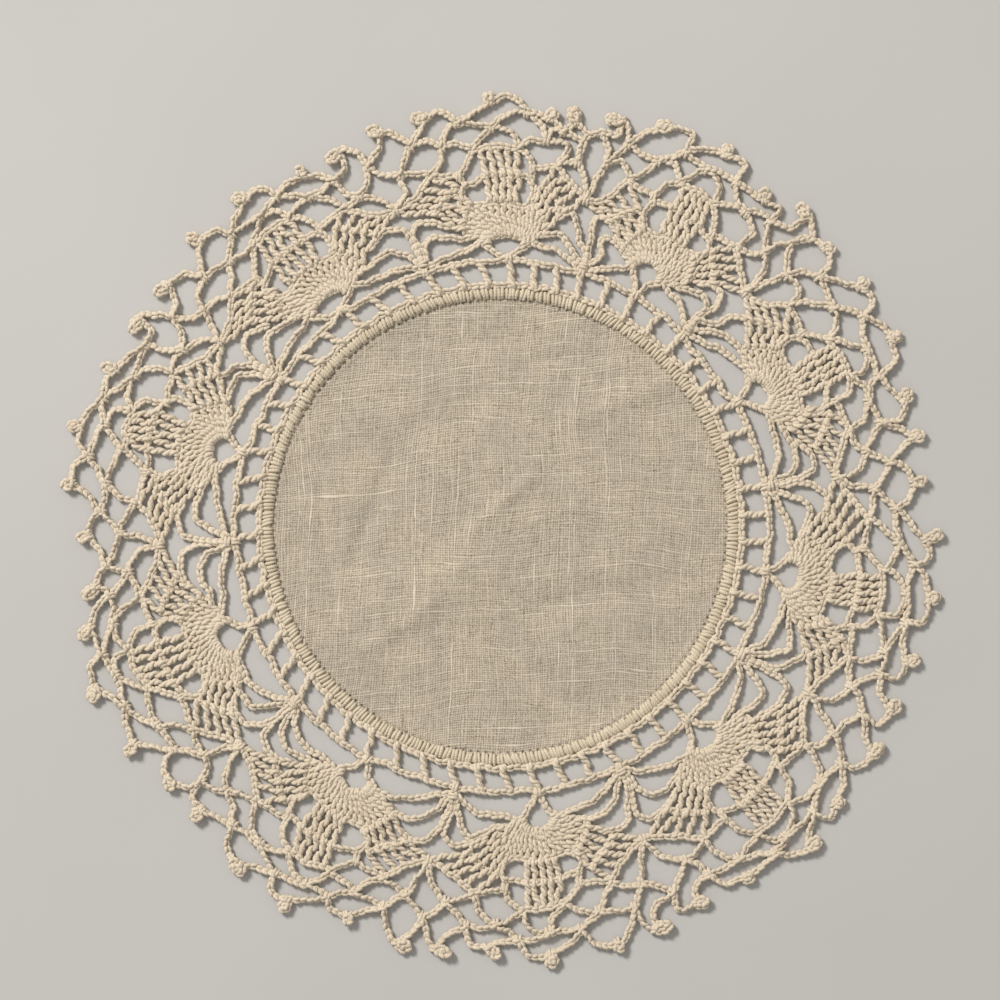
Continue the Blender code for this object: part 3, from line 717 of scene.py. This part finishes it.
def chain(work, points, z=CHAIN_Z, roll=0.6, half=CHAIN_HALF, pitch=CHAIN_PITCH, thread=THREAD):
    """A row of chain stitches along the points, rolling gently over and back as cord does."""
    line = points if isinstance(points, Line) else Line(points, z)
    count = max(1, round(line.length / pitch))
    step = line.length / count
    u, v, w, girth = (np.array(column) for column in zip(*STITCH))
    u = u + RNG.normal(0, 0.03, (count, 1))
    v = v * half * (1 + RNG.normal(0, 0.07, (count, 1)))
    v = v + RNG.normal(0, 0.15, (count, 1))
    w = w * (1 + RNG.normal(0, 0.06, (count, 1)))
    s = np.arange(count)[:, None] * step + u * step
    start, wave = RNG.uniform(0, math.tau), RNG.uniform(*ROLL_WAVE)
    tilt = roll * (np.sin(start + s * math.tau / wave) + RNG.uniform(-0.5, 0.5))
    left, place = line.left(s), line.at(s)
    loose = np.clip(np.minimum(s, line.length - s) / LOOSE_AFTER, 0, 1)
    sway = sum(size * np.sin(start * shift + s * math.tau / long) for size, shift, long in SWAYS)
    place = place + left * (loose * sway)[..., None]
    sine, cosine = np.sin(tilt)[..., None], np.cos(tilt)[..., None]
    across, above = left * cosine + UP * sine, UP * cosine - left * sine
    paths = place + across * v[..., None] + above * w[..., None] + UP * (0.5 * half * abs(sine))
    paths[..., 2] = np.maximum(paths[..., 2], thread)
    work.tubes(paths, thread * girth, above, closed=True, wide=1.06)


def rope(work, line, wrap, phase, stout):
    """Two strands twisted together along a line, lying straight for the first wrap of it."""
    half, strand = ROPE_HALF * stout, ROPE_STRAND * stout
    turn = ROPE_TURN * (1 + RNG.normal(0, 0.06))
    count = max(5, math.ceil(line.length / turn * ROPE_STEPS) + 1)
    s = np.linspace(0, line.length, count)
    twist = np.maximum(s - wrap, 0) * math.tau / turn
    twist = twist + phase + RNG.normal(0, 0.4) + 0.35 * np.sin(s * 0.37 + RNG.uniform(0, math.tau))
    right = -line.left(s)
    loose = np.clip((s - wrap) / 4, 0, 1) * np.clip((line.length - s) / 4, 0, 1)
    sway = ROPE_SWAY * loose * np.sin(twist + RNG.uniform(-0.6, 0.6))
    place = line.at(s) + right * sway[:, None]
    girth = strand * (1 + 0.07 * np.sin(s * 0.9 + RNG.uniform(0, math.tau)))
    paths = []
    for turned in (twist, twist + math.pi):
        out = right * np.cos(turned)[:, None] + UP * np.sin(turned)[:, None]
        paths.append(place + half * out)
    paths = np.array(paths)
    paths[..., 2] = np.maximum(paths[..., 2], strand)
    work.tubes(paths, girth, UP, taper=0.7)


def post(work, foot, head, wrap, over=6.3, phase=0.0, bend=0.0, stout=1.0):
    """A tall stitch that starts round the chain at its foot and ends under the one at its head."""
    start, end = place_of(foot), place_of(head)
    long = np.linalg.norm(end - start)
    ahead = unit(end - start)
    spots = [(-3.0, 1.8), (-1.7, over - 1.6), (0.5, over), (3.6, min(over, 4.9)), (7.5, 3.6)]
    spots = [(s, z) for s, z in spots if s < long - 4]
    if long > 14:
        spots.append((long * 0.75, 3.5))
    spots.append((long - 0.5, 3.3))
    knots = []
    for s, _ in spots:
        wave = bend * math.sin(min(max(s / long, 0), 1) * math.tau)
        knots.append(polar_of(start + ahead * s + leftward(ahead) * wave))
    rope(work, Line(knots, [z for _, z in spots]), min(wrap, long * 0.5), phase, stout)


def wraps(work, point, across_a, reach=4.4, gap=2.9, top=6.3, foot=1.6, close=0.7):
    """Two short loops laid over a strand along across_a, drawn closer together at one end."""
    centre, across = place_of(point), place_of((across_a, 1.0))
    along = leftward(across)
    half_shape = ((-1.0, foot), (-0.92, foot + 1.6), (-0.5, top - 0.8))
    shape = half_shape + ((0, top),) + tuple((-x, z) for x, z in reversed(half_shape))
    paths = []
    for side in (-0.5, 0.5):
        middle = centre + along * side * gap
        long = reach * (1 + RNG.normal(0, 0.08))
        lean = (centre - middle) * close / 2 + along * RNG.normal(0, 0.4)
        paths.append([middle + across * x * long + lean * x + UP * z for x, z in shape])
    work.tubes(np.array(paths), WRAP_THREAD, along, taper=0.8)


# -------- the border


def squares(work, fan):
    """The posts and the chain round from this fan's root to the next one's."""
    row = FANS[fan]
    next_row = FANS[(fan + 1) % FAN_COUNT]
    root, spider = row.root_a, row.spider_a
    next_root = around(FANS, fan + 1, "root")[0]
    tops = [part_way(root, spider, n / row.before) for n in range(row.before)]
    tops += [part_way(spider, next_root, n / row.after) for n in range(row.after + 1)]
    count = len(tops) - 1
    before, after = Side(fan, 1).ring_r, Side(fan + 1, -1).ring_r
    rings = [before] * row.before + [(before + after) / 2] + [after] * row.after
    rings[0] = rings[-1] = CHAIN_R + 3.5
    for n in range(count):
        foot_a = tops[n] + part_way(row.lean, next_row.lean, n / count)
        head = (tops[n], rings[n] + 1)
        post(work, (foot_a, BRAID_R), head, wrap=6, bend=RNG.normal(0, 0.9), stout=1.1)
    points = []
    for n in range(count):
        points.append((tops[n], rings[n]))
        middle_r = before if n < row.before else after
        points.append(((tops[n] + tops[n + 1]) / 2, middle_r - 0.5 + RNG.normal(0, 0.5)))
    points.append((tops[-1], rings[-1]))
    chain(work, points)


def root_and_loop(work, fan):
    """The knot at the fan's root, its two legs and the ring that the fan's rays start on."""
    right, left = Side(fan, -1), Side(fan, 1)
    rising = [right.at(0.3, CHAIN_R + 3), right.beside_hole(0), right.beside_hole(1)]
    falling = [left.beside_hole(1), left.beside_hole(0), left.at(0.3, CHAIN_R + 3)]
    shoulder = left.hole_half * 1.15
    top = [(left.hole - shoulder, left.loop_top_r - 1.0), (left.hole, left.loop_top_r + 3)]
    top.append((left.hole + shoulder, left.loop_top_r - 1.0))
    chain(work, rising + top + falling, z=2.3)
    wraps(work, (left.root, CHAIN_R + 3), left.root, reach=5.0, gap=3.2, top=6.8)
    return right, left


def rays(work, right, left):
    """The dense half round of tall stitches on the ring, and the heads that close it."""
    rim = right.flank() + right.gap_floor()
    rim.append(((right.gap_a + left.gap_a) / 2, (right.gap_low_r + left.gap_low_r) / 2 + 0.5))
    rim = Line(rim + left.gap_floor()[::-1] + left.flank()[::-1])
    centre, out = place_of((left.hole, left.loop_r + 1)), place_of((left.hole, 1.0))
    aside = leftward(out)
    half_wide = math.radians(left.hole_half) * left.loop_r + 3.2
    half_high = left.loop_top_r - left.loop_r + 2.6
    for n in range(RAYS):
        share = n / (RAYS - 1) * 2 - 1
        turn = math.radians(RAYS_HALF_TURN * share)
        foot = centre + aside * math.sin(turn) * half_wide + out * math.cos(turn) * half_high
        foot = foot + aside * RNG.normal(0, 0.35) + out * RNG.normal(0, 0.6)
        head = polar_of(rim.at(np.array((share + 1) / 2 * rim.length)))
        post(work, polar_of(foot), head, wrap=4.0, over=4.2, phase=math.pi / 2, stout=1.05)
    top = Line([polar_of(p) for p in rim.points[::6]])
    chain(work, top, roll=0.2, pitch=rim.length / (RAYS - 1))


def leaf(work, side):
    """The side leaf: five strands in two tiers, the edge that closes it and its arches."""
    level = side.high_arch_r
    knots = []
    for n, row in enumerate(LEAF):
        shift = side.gap_shift() * n / (len(LEAF) - 1)
        foot = side.at(row.foot_t + shift, level + row.foot_rise_r)
        knot = side.at(row.knot_t + shift * 0.6, level + row.knot_rise_r)
        post(work, foot, knot, wrap=5, bend=RNG.normal(0, 1.3))
        post(work, knot, side.leaf_edge(row.share), wrap=4, bend=RNG.normal(0, 1.3))
        knots.append(knot)
    chain(work, knots, roll=0.2)
    edge = [side.leaf_edge(share) for share in (0.0, 0.33, 0.67, 1.0)]
    chain(work, edge, z=CHAIN_Z + 0.6, roll=0.3)
    chain(work, [side.top, between(side.top, side.link, 0.5), side.link])
    for points in side.arches():
        chain(work, points)


def block(work, right, left):
    """The middle block: two rows of five tall stitches, and the strands round its holes."""
    low = (right.gap_low_r + left.gap_low_r) / 2 + 1
    mid = (right.gap_high_r + left.gap_high_r) / 2 + 7
    right_a, left_a = right.gap_a + right.gap_half, left.gap_a - left.gap_half
    heads, tops = [], []
    for n in range(BLOCK_STRANDS):
        share = n / (BLOCK_STRANDS - 1)
        foot = (part_way(right_a + 0.75, left_a - 0.75, share), low)
        head = (part_way(right_a + 0.35, left_a - 0.35, share), mid)
        top_a = part_way(right.corner[0] + 0.7, left.corner[0] - 1.2, share)
        top_r = part_way(right.corner[1], left.corner[1], share) + 3 * 4 * share * (1 - share)
        heads.append(head)
        tops.append((top_a, top_r))
        post(work, foot, head, wrap=5, bend=RNG.normal(0, 1.1), stout=1.04)
        post(work, head, tops[-1], wrap=5, bend=RNG.normal(0, 1.5), stout=1.04)
    for side, end in ((right, 0), (left, -1)):
        chain(work, side.round_gap(-75, -40, -5, 30, 60, 90) + [heads[end]])
        chain(work, [side.link] + side.round_gap(48))
        chain(work, [side.link, side.block_side(), side.corner])
        wraps(work, side.link, side.link[0])
    chain(work, heads, roll=0.2)
    chain(work, [right.corner] + tops + [left.corner], z=CHAIN_Z + 0.6, roll=0.2)


def spider(work, fan):
    """The knot that gathers the arches of two fans, and the knot where their leaves meet."""
    before, after = Side(fan, 1), Side(fan + 1, -1)
    knot = (before.spider, SPIDER_FOOT_R + 4)
    wraps(work, knot, before.spider + 90, reach=5.6, top=8.0)
    ring_r = (before.ring_r + after.ring_r) / 2
    wraps(work, (before.spider, ring_r), before.spider, reach=5.0, top=6.8)
    wraps(work, before.join, before.join[0], reach=4.6, top=7.0)


def net(work, fan):
    """The three rounds of arches over a fan, their knots and the picots."""
    for number in range(fan * ARCHES_A_FAN, (fan + 1) * ARCHES_A_FAN):
        first = first_arch(number)
        second = outer_arch(FIRST_CRESTS, SECOND_CRESTS, SECOND_BENDS, number)
        third = outer_arch(SECOND_CRESTS, PICOT_FEET, PICOT_BENDS, number)
        for points, lift in ((first, 0.4), (second, 0.8), (third, 1.1)):
            start, end = ((angle, radius + 2) for angle, radius in (points[0], points[-1]))
            heights = [CHAIN_Z + lift + 1.2] + [CHAIN_Z] * 3 + [CHAIN_Z + lift + 1.2]
            chain(work, Line([start] + points[1:-1] + [end], heights), roll=0.9)
        for points in (second, third):
            wraps(work, points[0], points[0][0])
        picot(work, number)


def picot(work, number):
    """A lump of chain stitches drawn into a ring on the crest of an outer arch."""
    foot, tip = place_of(crest(PICOT_FEET, number)), place_of(crest(PICOT_TIPS, number))
    long = np.linalg.norm(tip - foot)
    out = unit(tip - foot if long > 1 else foot)
    half_long = 3.4 + max(long - 10, 0) / 2
    centre = tip - out * (half_long + 1.2)
    start = RNG.uniform(0, math.tau)
    ring = []
    for n in range(PICOT_KNOTS):
        turn = start + math.tau * n / PICOT_KNOTS
        aside = leftward(out) * math.sin(turn) * 3.5
        ring.append(polar_of(centre + out * math.cos(turn) * half_long + aside))
    heights = CHAIN_Z + 1.3 + RNG.uniform(-0.8, 1.0, PICOT_KNOTS + 1)
    ring.append(ring[0])
    heights[-1] = heights[0]
    chain(work, Line(ring, heights), roll=0.7, pitch=5.6, half=2.3, thread=2.1)
    angle = math.degrees(math.atan2(out[1], out[0]))
    turned = angle + RNG.uniform(-60, 60)
    wraps(work, polar_of(centre), turned, reach=3.6, top=7.0, foot=3.0, close=1.2)
    wraps(work, polar_of(centre - out * (half_long + 1.5)), angle, reach=3.6, top=6.6)


def band(work):
    """The close stitches over the linen's edge, and the padding thread inside them."""
    paths = []
    for n in range(BAND_STITCHES):
        middle = 360.0 * (n + 0.5) / BAND_STITCHES
        wave = 0.2 * math.sin(math.radians(middle * 4 + 40))
        wave += 0.16 * math.sin(math.radians(middle * 11))
        lean, shift, bow = wave + RNG.normal(0, 0.17), RNG.normal(0, 0.10), RNG.normal(0, 0.12)
        for inner, outer in ((-0.40, -0.48), (0.34, 0.46)):
            start, end = inner - lean + shift, outer + lean + shift + RNG.normal(0, 0.08)
            drop, lift = RNG.normal(0, 0.4), RNG.normal(0, 0.25)
            path = []
            for row in RIB:
                swell = math.sin(math.pi * row.share)
                angle = middle + part_way(start, end, row.share) + bow * swell
                radius = row.r + RNG.normal(0, 0.15) + drop * (1 - row.share)
                height = row.z + lift * swell + RNG.normal(0, 0.12)
                path.append(place_of((angle, radius), height))
            paths.append(path)
    paths = np.array(paths)
    up = unit(np.cross(paths[:, -1] - paths[:, 0], UP))[:, None]
    girth = np.array([row.girth for row in RIB])
    work.tubes(paths, girth * RNG.uniform(1.62, 1.95, (len(paths), 1)), up, taper=0.75)
    padding = [place_of((turn, PADDING_R), 2.2) for turn in np.arange(0, 360, 1.5)]
    work.tubes([padding], 2.0, UP, closed=True, wide=2.2)


def braid(work, fan):
    """The edge chain that the squares' posts are worked on."""
    start = FANS[fan].root_a
    end = around(FANS, fan + 1, "root")[0]
    count = max(4, round((end - start) / 1.5))
    points = []
    for n in range(count + 1):
        points.append((part_way(start, end, n / count), BRAID_R + 0.6 * math.sin(n * 2.1)))
    chain(work, points, roll=0.35, pitch=7.2)


def border(fan):
    work = Work(f"border_fan_{fan}")
    braid(work, fan)
    squares(work, fan)
    right, left = root_and_loop(work, fan)
    rays(work, right, left)
    leaf(work, right)
    leaf(work, left)
    block(work, right, left)
    spider(work, fan)
    net(work, fan)
    return work


# -------- the linen


def linen_height(x, y):
    """The cloth's top: soft folds, a slow swell and the puckers that the stitches pull."""
    z = LINEN_Z + CROWN_Z * np.clip(1 - (x**2 + y**2) / CROWN_R**2, 0, 1)
    for row in FOLDS:
        along = np.array([row.end_x - row.start_x, row.end_y - row.start_y], float)
        long = np.linalg.norm(along)
        along /= long
        s = (x - row.start_x) * along[0] + (y - row.start_y) * along[1]
        off = -(x - row.start_x) * along[1] + (y - row.start_y) * along[0]
        past = np.maximum(np.maximum(-s, s - long), 0)
        z += row.height * np.exp(-((off / row.width) ** 2) - (past / (row.width * 1.6)) ** 2)
    z += 0.10 * np.sin(x * 0.031 + 1.2 * np.sin(y * 0.017)) * np.sin(y * 0.037 + 0.7)
    z += 0.05 * np.sin(x * 0.083 + y * 0.041) * np.sin(y * 0.071 - x * 0.026)
    radius, angle = np.hypot(x, y), np.arctan2(y, x)
    near = np.clip((radius - 190) / 36, 0, 1) ** 2
    pull = np.sin(angle * PUCKERS) * (0.6 + 0.4 * np.sin(angle * 7 + 1))
    z += near * (0.20 * pull + 0.14 * np.sin(angle * 23 + 2 * np.sin(angle * 5)))
    hem = np.clip((radius - HEM_R + 0.6) / 2.4, 0, 1) * (0.75 + 0.25 * np.sin(angle * 11 + 2))
    z += HEM_Z * hem
    # Deep folds flatten out softly before they reach the floor.
    return np.where(z < LOW_Z, 0.5 + 0.8 * np.exp(np.minimum(z - LOW_Z, 0) / 0.8), z)


def linen():
    """The cloth as one closed sheet: its modelled top, its edge and a flat underside."""
    field = np.linspace(0, HEM_R - 3, LINEN_RINGS)[1:]
    radii = np.concatenate([field, HEM_R + np.array(HEM_RINGS)])
    turn = np.arange(LINEN_SPOKES) * math.tau / LINEN_SPOKES
    x, y = np.outer(radii, np.cos(turn)), np.outer(radii, np.sin(turn))
    top = np.stack([x, y, linen_height(x, y)], -1)
    verts = np.concatenate([top, top[-1:] * (1, 1, 0)]).reshape(-1, 3)
    index = np.arange(len(verts)).reshape(-1, LINEN_SPOKES)
    following = np.roll(index, -1, axis=1)
    quads = np.stack([index[:-1], index[1:], following[1:], following[:-1]], -1)
    faces = quads.reshape(-1, 4).tolist()
    for pole, first, second in ((0, index[0], following[0]), (1, following[-1], index[-1])):
        middle = np.full(LINEN_SPOKES, len(verts) + pole)
        faces += np.stack([middle, first, second], -1).tolist()
    poles = [(0, 0, float(linen_height(0.0, 0.0))), (0, 0, 0)]
    return new_mesh("linen_cloth", np.concatenate([verts, poles]), faces)


# -------- materials


class Value:
    """The output of a shader node, which adds the nodes that reckon with it."""

    def __init__(self, nodes, socket):
        self.nodes, self.socket = nodes, socket

    def op(self, operation, other=0.0):
        return self.nodes.add("Math", {0: self, 1: other}, operation=operation)

    __add__ = partialmethod(op, "ADD")
    __sub__ = partialmethod(op, "SUBTRACT")
    __mul__ = partialmethod(op, "MULTIPLY")
    __truediv__ = partialmethod(op, "DIVIDE")
    __pow__ = partialmethod(op, "POWER")

    def ramp(self, low, high, to_low=0.0, to_high=1.0):
        return self.nodes.add("MapRange", {0: self, 1: low, 2: high, 3: to_low, 4: to_high})

    def split(self):
        node = self.nodes.add("SeparateXYZ", {0: self}).socket.node
        return [Value(self.nodes, socket) for socket in node.outputs]

    def stretched(self, x, y, z=1.0, move=(0, 0, 0)):
        inputs = {"Vector": self, "Scale": (x, y, z), "Location": move}
        return self.nodes.add("Mapping", inputs)

    def noise(self, scale, detail=2.0, roughness=0.5):
        inputs = {"Vector": self, "Scale": scale, "Detail": detail, "Roughness": roughness}
        return self.nodes.add("TexNoise", inputs, "Fac")


class Nodes:
    """Short calls that add and join the shader nodes of one material."""

    def __init__(self, name):
        self.material = bpy.data.materials.new(name)
        self.material.use_nodes = True
        self.tree = self.material.node_tree
        self.place = self.add("TexCoord", output="Object")

    def put(self, target, value):
        if isinstance(value, Value):
            self.tree.links.new(value.socket, target)
        else:
            target.default_value = value

    def add(self, kind, inputs=(), output=0, **settings):
        node = self.tree.nodes.new("ShaderNode" + kind)
        for name, value in settings.items():
            setattr(node, name, value)
        for key, value in dict(inputs).items():
            self.put(node.inputs[key], value)
        return Value(self, node.outputs[output])

    def mix(self, share, first, second):
        return self.add("Mix", {0: share, 6: first, 7: second}, 2, data_type="RGBA")

    def surface(self, sockets, height=None, strength=0.0, distance=0.0):
        """Set the shader's sockets and its bump, and give the finished material."""
        if height is not None:
            inputs = {"Strength": strength, "Distance": distance, "Height": height}
            sockets["Normal"] = self.add("Bump", inputs)
        for name, value in sockets.items():
            self.put(self.tree.nodes["Principled BSDF"].inputs[name], value)
        return self.material


def cotton(name, light, dark):
    """Cream crochet cotton: fine plies twisted round the thread, painted shade in the grooves
    between them, and a little unevenness.
    """
    nodes = Nodes(name)
    along, round_thread, _ = nodes.add("UVMap", output="UV", uv_map="UVMap").split()
    ply = ((along * PLY_TWIST + round_thread * PLIES) * math.tau).op("SINE")
    fuzz = nodes.place.noise(5200, 2.0, 0.6)
    tone = nodes.place.noise(160).ramp(0.3, 0.7, 0, 0.55)
    # The ply term is painted shade: the colour darkens in the grooves between the plies, where the
    # bump is lowest.
    tone = tone + nodes.place.noise(900).ramp(0.3, 0.7, 0, 0.3) + ply.ramp(-1, 1, 0.30, 0.0)
    sockets = {
        "Base Color": nodes.mix(tone, light, dark),
        "Roughness": 0.82,
        "Specular IOR Level": 0.3,
        "Sheen Weight": 0.15,
        "Sheen Roughness": 0.5,
    }
    return nodes.surface(sockets, ply * 0.5 + fuzz * 0.8, 0.6, 0.0001)


def threads(nodes, lane_at, along, pitch, seed):
    """One set of the weave's threads: number, round profile, tone, and where it is a slub."""
    key = nodes.add("CombineXYZ", {0: lane_at, 1: along, 2: seed})
    crowd = key.stretched(420, 60).noise(1.0, 2.0, 0.6)
    lane = lane_at / pitch + crowd * 2.6
    number = lane.op("FLOOR")
    profile = (lane.op("FRACT") * math.pi).op("SINE")
    own = nodes.add("CombineXYZ", {0: number, 1: seed})
    own = nodes.add("TexWhiteNoise", {"Vector": own}, "Value")
    streak = nodes.add("CombineXYZ", {0: number, 1: along, 2: seed})
    tone = streak.stretched(3.7, 130).noise(1.0, 3.0, 0.65)
    slub = streak.stretched(5.3, 34, 1, (7, 3, 0)).noise(1.0, 3.0, 0.6)
    thick = (own**2.0).ramp(0.35, 1.0) * slub.ramp(0.36, 0.66) * profile.ramp(0.60, 0.98)
    return number, profile, tone, thick


def linen_cloth():
    """Unbleached linen: an uneven plain weave with slubs, with painted shade between its threads
    and in the needle's pricks at its edge.
    """
    nodes = Nodes("linen_weave")
    place = nodes.place
    x, y, _ = place.split()
    drift = place.noise(22, 1.0) - 0.5
    other = place.stretched(1, 1, 1, (3, 5, 0)).noise(22, 1.0) - 0.5
    # The weft rises to the right in the middle of the cloth and levels out towards the edge.
    weft_at = y + x * (x * 0.55 - 0.06) + drift * 0.008
    warp_at = x + y * -0.03 + other * 0.006
    warp_n, warp, warp_tone, warp_slub = threads(nodes, warp_at, y, WARP_PITCH, 3.7)
    weft_n, weft, weft_tone, weft_slub = threads(nodes, weft_at, x, WEFT_PITCH, 9.1)
    # The added number is even and keeps the sum above zero.
    odd = (warp_n + weft_n + 4000.0).op("MODULO", 2.0)
    warp_top, weft_top = warp * odd.ramp(0, 1, 1.0, 0.55), weft * odd.ramp(0, 1, 0.55, 1.0)
    weave = warp_top.op("MAXIMUM", weft_top)
    slubs = warp_slub.op("MAXIMUM", weft_slub)
    grain = place.noise(1400, 2.0, 0.7)
    blotch = place.noise(55, 3.0, 0.6)
    # Painted shade: the weave's low places, between the threads and where a thread passes under,
    # are darkened; the threads' own tones and the grain add random tone to it.
    dark = weave.ramp(0.30, 0.95, 1.15, 0.0)
    dark = dark + (warp_tone + weft_tone).ramp(0.70, 1.30, 0.28, -0.26)
    dark = dark + grain.ramp(0.3, 0.7, 0.34, -0.38)
    base = nodes.mix(blotch.ramp(0.36, 0.64), LINEN_WARM, LINEN_GREY)
    base = nodes.mix(dark.ramp(0.0, 1.3), base, LINEN_DARK)
    base = nodes.mix(slubs * 0.78, base, LINEN_LIGHT)
    # A dark dot of painted shade stands for the needle's hole beside every stitch of the edge, in
    # layout units from its own middle.
    turn = y.op("ARCTAN2", x) * (BAND_STITCHES / math.tau)
    aside = ((turn + 1000.0).op("FRACT") - 0.5) * PRICK_PITCH
    radius = nodes.add("VectorMath", {0: place}, "Value", operation="LENGTH")
    gap = (aside**2 + (radius / THIRD - PRICK_R) ** 2) ** 0.5
    prick_shade = gap.ramp(0.8, 2.1, 0.85, 0.0) * blotch.ramp(0.3, 0.6)
    sockets = {
        "Base Color": nodes.mix(prick_shade, base, PRICK_SHADE),
        "Roughness": 0.9,
        "Specular IOR Level": 0.2,
    }
    return nodes.surface(sockets, weave * 0.7 + slubs * 0.9 + grain * 0.5, 0.5, 0.00018)


def floor_material():
    nodes = Nodes("floor_pale")
    cloud = nodes.place.noise(6, 3.0, 0.5).ramp(0.3, 0.7)
    return nodes.surface({"Base Color": nodes.mix(cloud, *FLOOR_TONES), "Roughness": 0.85})


# -------- the scene


def add_object(name, data, place=(0, 0, 0)):
    obj = bpy.data.objects.new(name, data)
    obj.location = place
    bpy.context.scene.collection.objects.link(obj)
    return obj


def piece(mesh, material, slot, *nodes):
    obj = add_object(mesh.name, mesh)
    mesh.materials.append(material)
    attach(obj, "root")
    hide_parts(*nodes)
    return obj


def stage():
    bpy.context.scene.view_settings.view_transform = "Standard"
    mesh = bpy.data.meshes.new("floor")
    corners = [(-1, -1), (1, -1), (1, 1), (-1, 1)]
    mesh.from_pydata([(x * FLOOR_HALF, y * FLOOR_HALF, 0) for x, y in corners], [], [(0, 1, 2, 3)])
    mesh.materials.append(floor_material())
    floor = add_object("floor", mesh, (0, 0, -FLOOR_DROP))
    world = bpy.data.worlds.new("studio")
    bpy.context.scene.world = world
    world.use_nodes = True
    background = world.node_tree.nodes["Background"].inputs
    background["Color"].default_value = (1.0, 0.98, 0.95, 1)
    background["Strength"].default_value = 0.45
    data = bpy.data.lights.new("key", "AREA")
    data.shape = "DISK"
    data.size = KEY_SIZE
    data.energy = KEY_POWER
    data.color = (1.0, 0.97, 0.93)
    key = add_object("key", data, KEY_PLACE)
    x, y, z = KEY_PLACE
    key.rotation_euler = (math.atan2(math.hypot(x, y), z), 0, math.atan2(-y, -x) - math.pi / 2)


def camera():
    """Straight down from high above, so that the photo's frame spans the doily's plane."""
    data = bpy.data.cameras.new("camera")
    data.sensor_width = SENSOR
    data.lens = SENSOR * CAMERA_HEIGHT / (PHOTO_SIDE * THIRD)
    x, y = PHOTO_SIDE / 2 - CENTRE_IN_PHOTO[0], CENTRE_IN_PHOTO[1] - PHOTO_SIDE / 2
    obj = add_object("camera", data, (x * THIRD, y * THIRD, CAMERA_HEIGHT))
    bpy.context.scene.camera = obj


def main():
    cream = cotton("cotton_cream", *CREAM_TONES)
    pale = cotton("cotton_band", *BAND_TONES)
    cloth = piece(linen(), linen_cloth(), "linen", "linen_centre")
    stitches = Work("edge_stitches")
    band(stitches)
    pieces = [piece(stitches.mesh(), pale, "cotton_cord", "edge_stitching")]
    for fan in range(FAN_COUNT):
        pieces.append(piece(border(fan).mesh(), cream, "cotton_cord", "crochet_border"))
    stage()
    camera()


main()
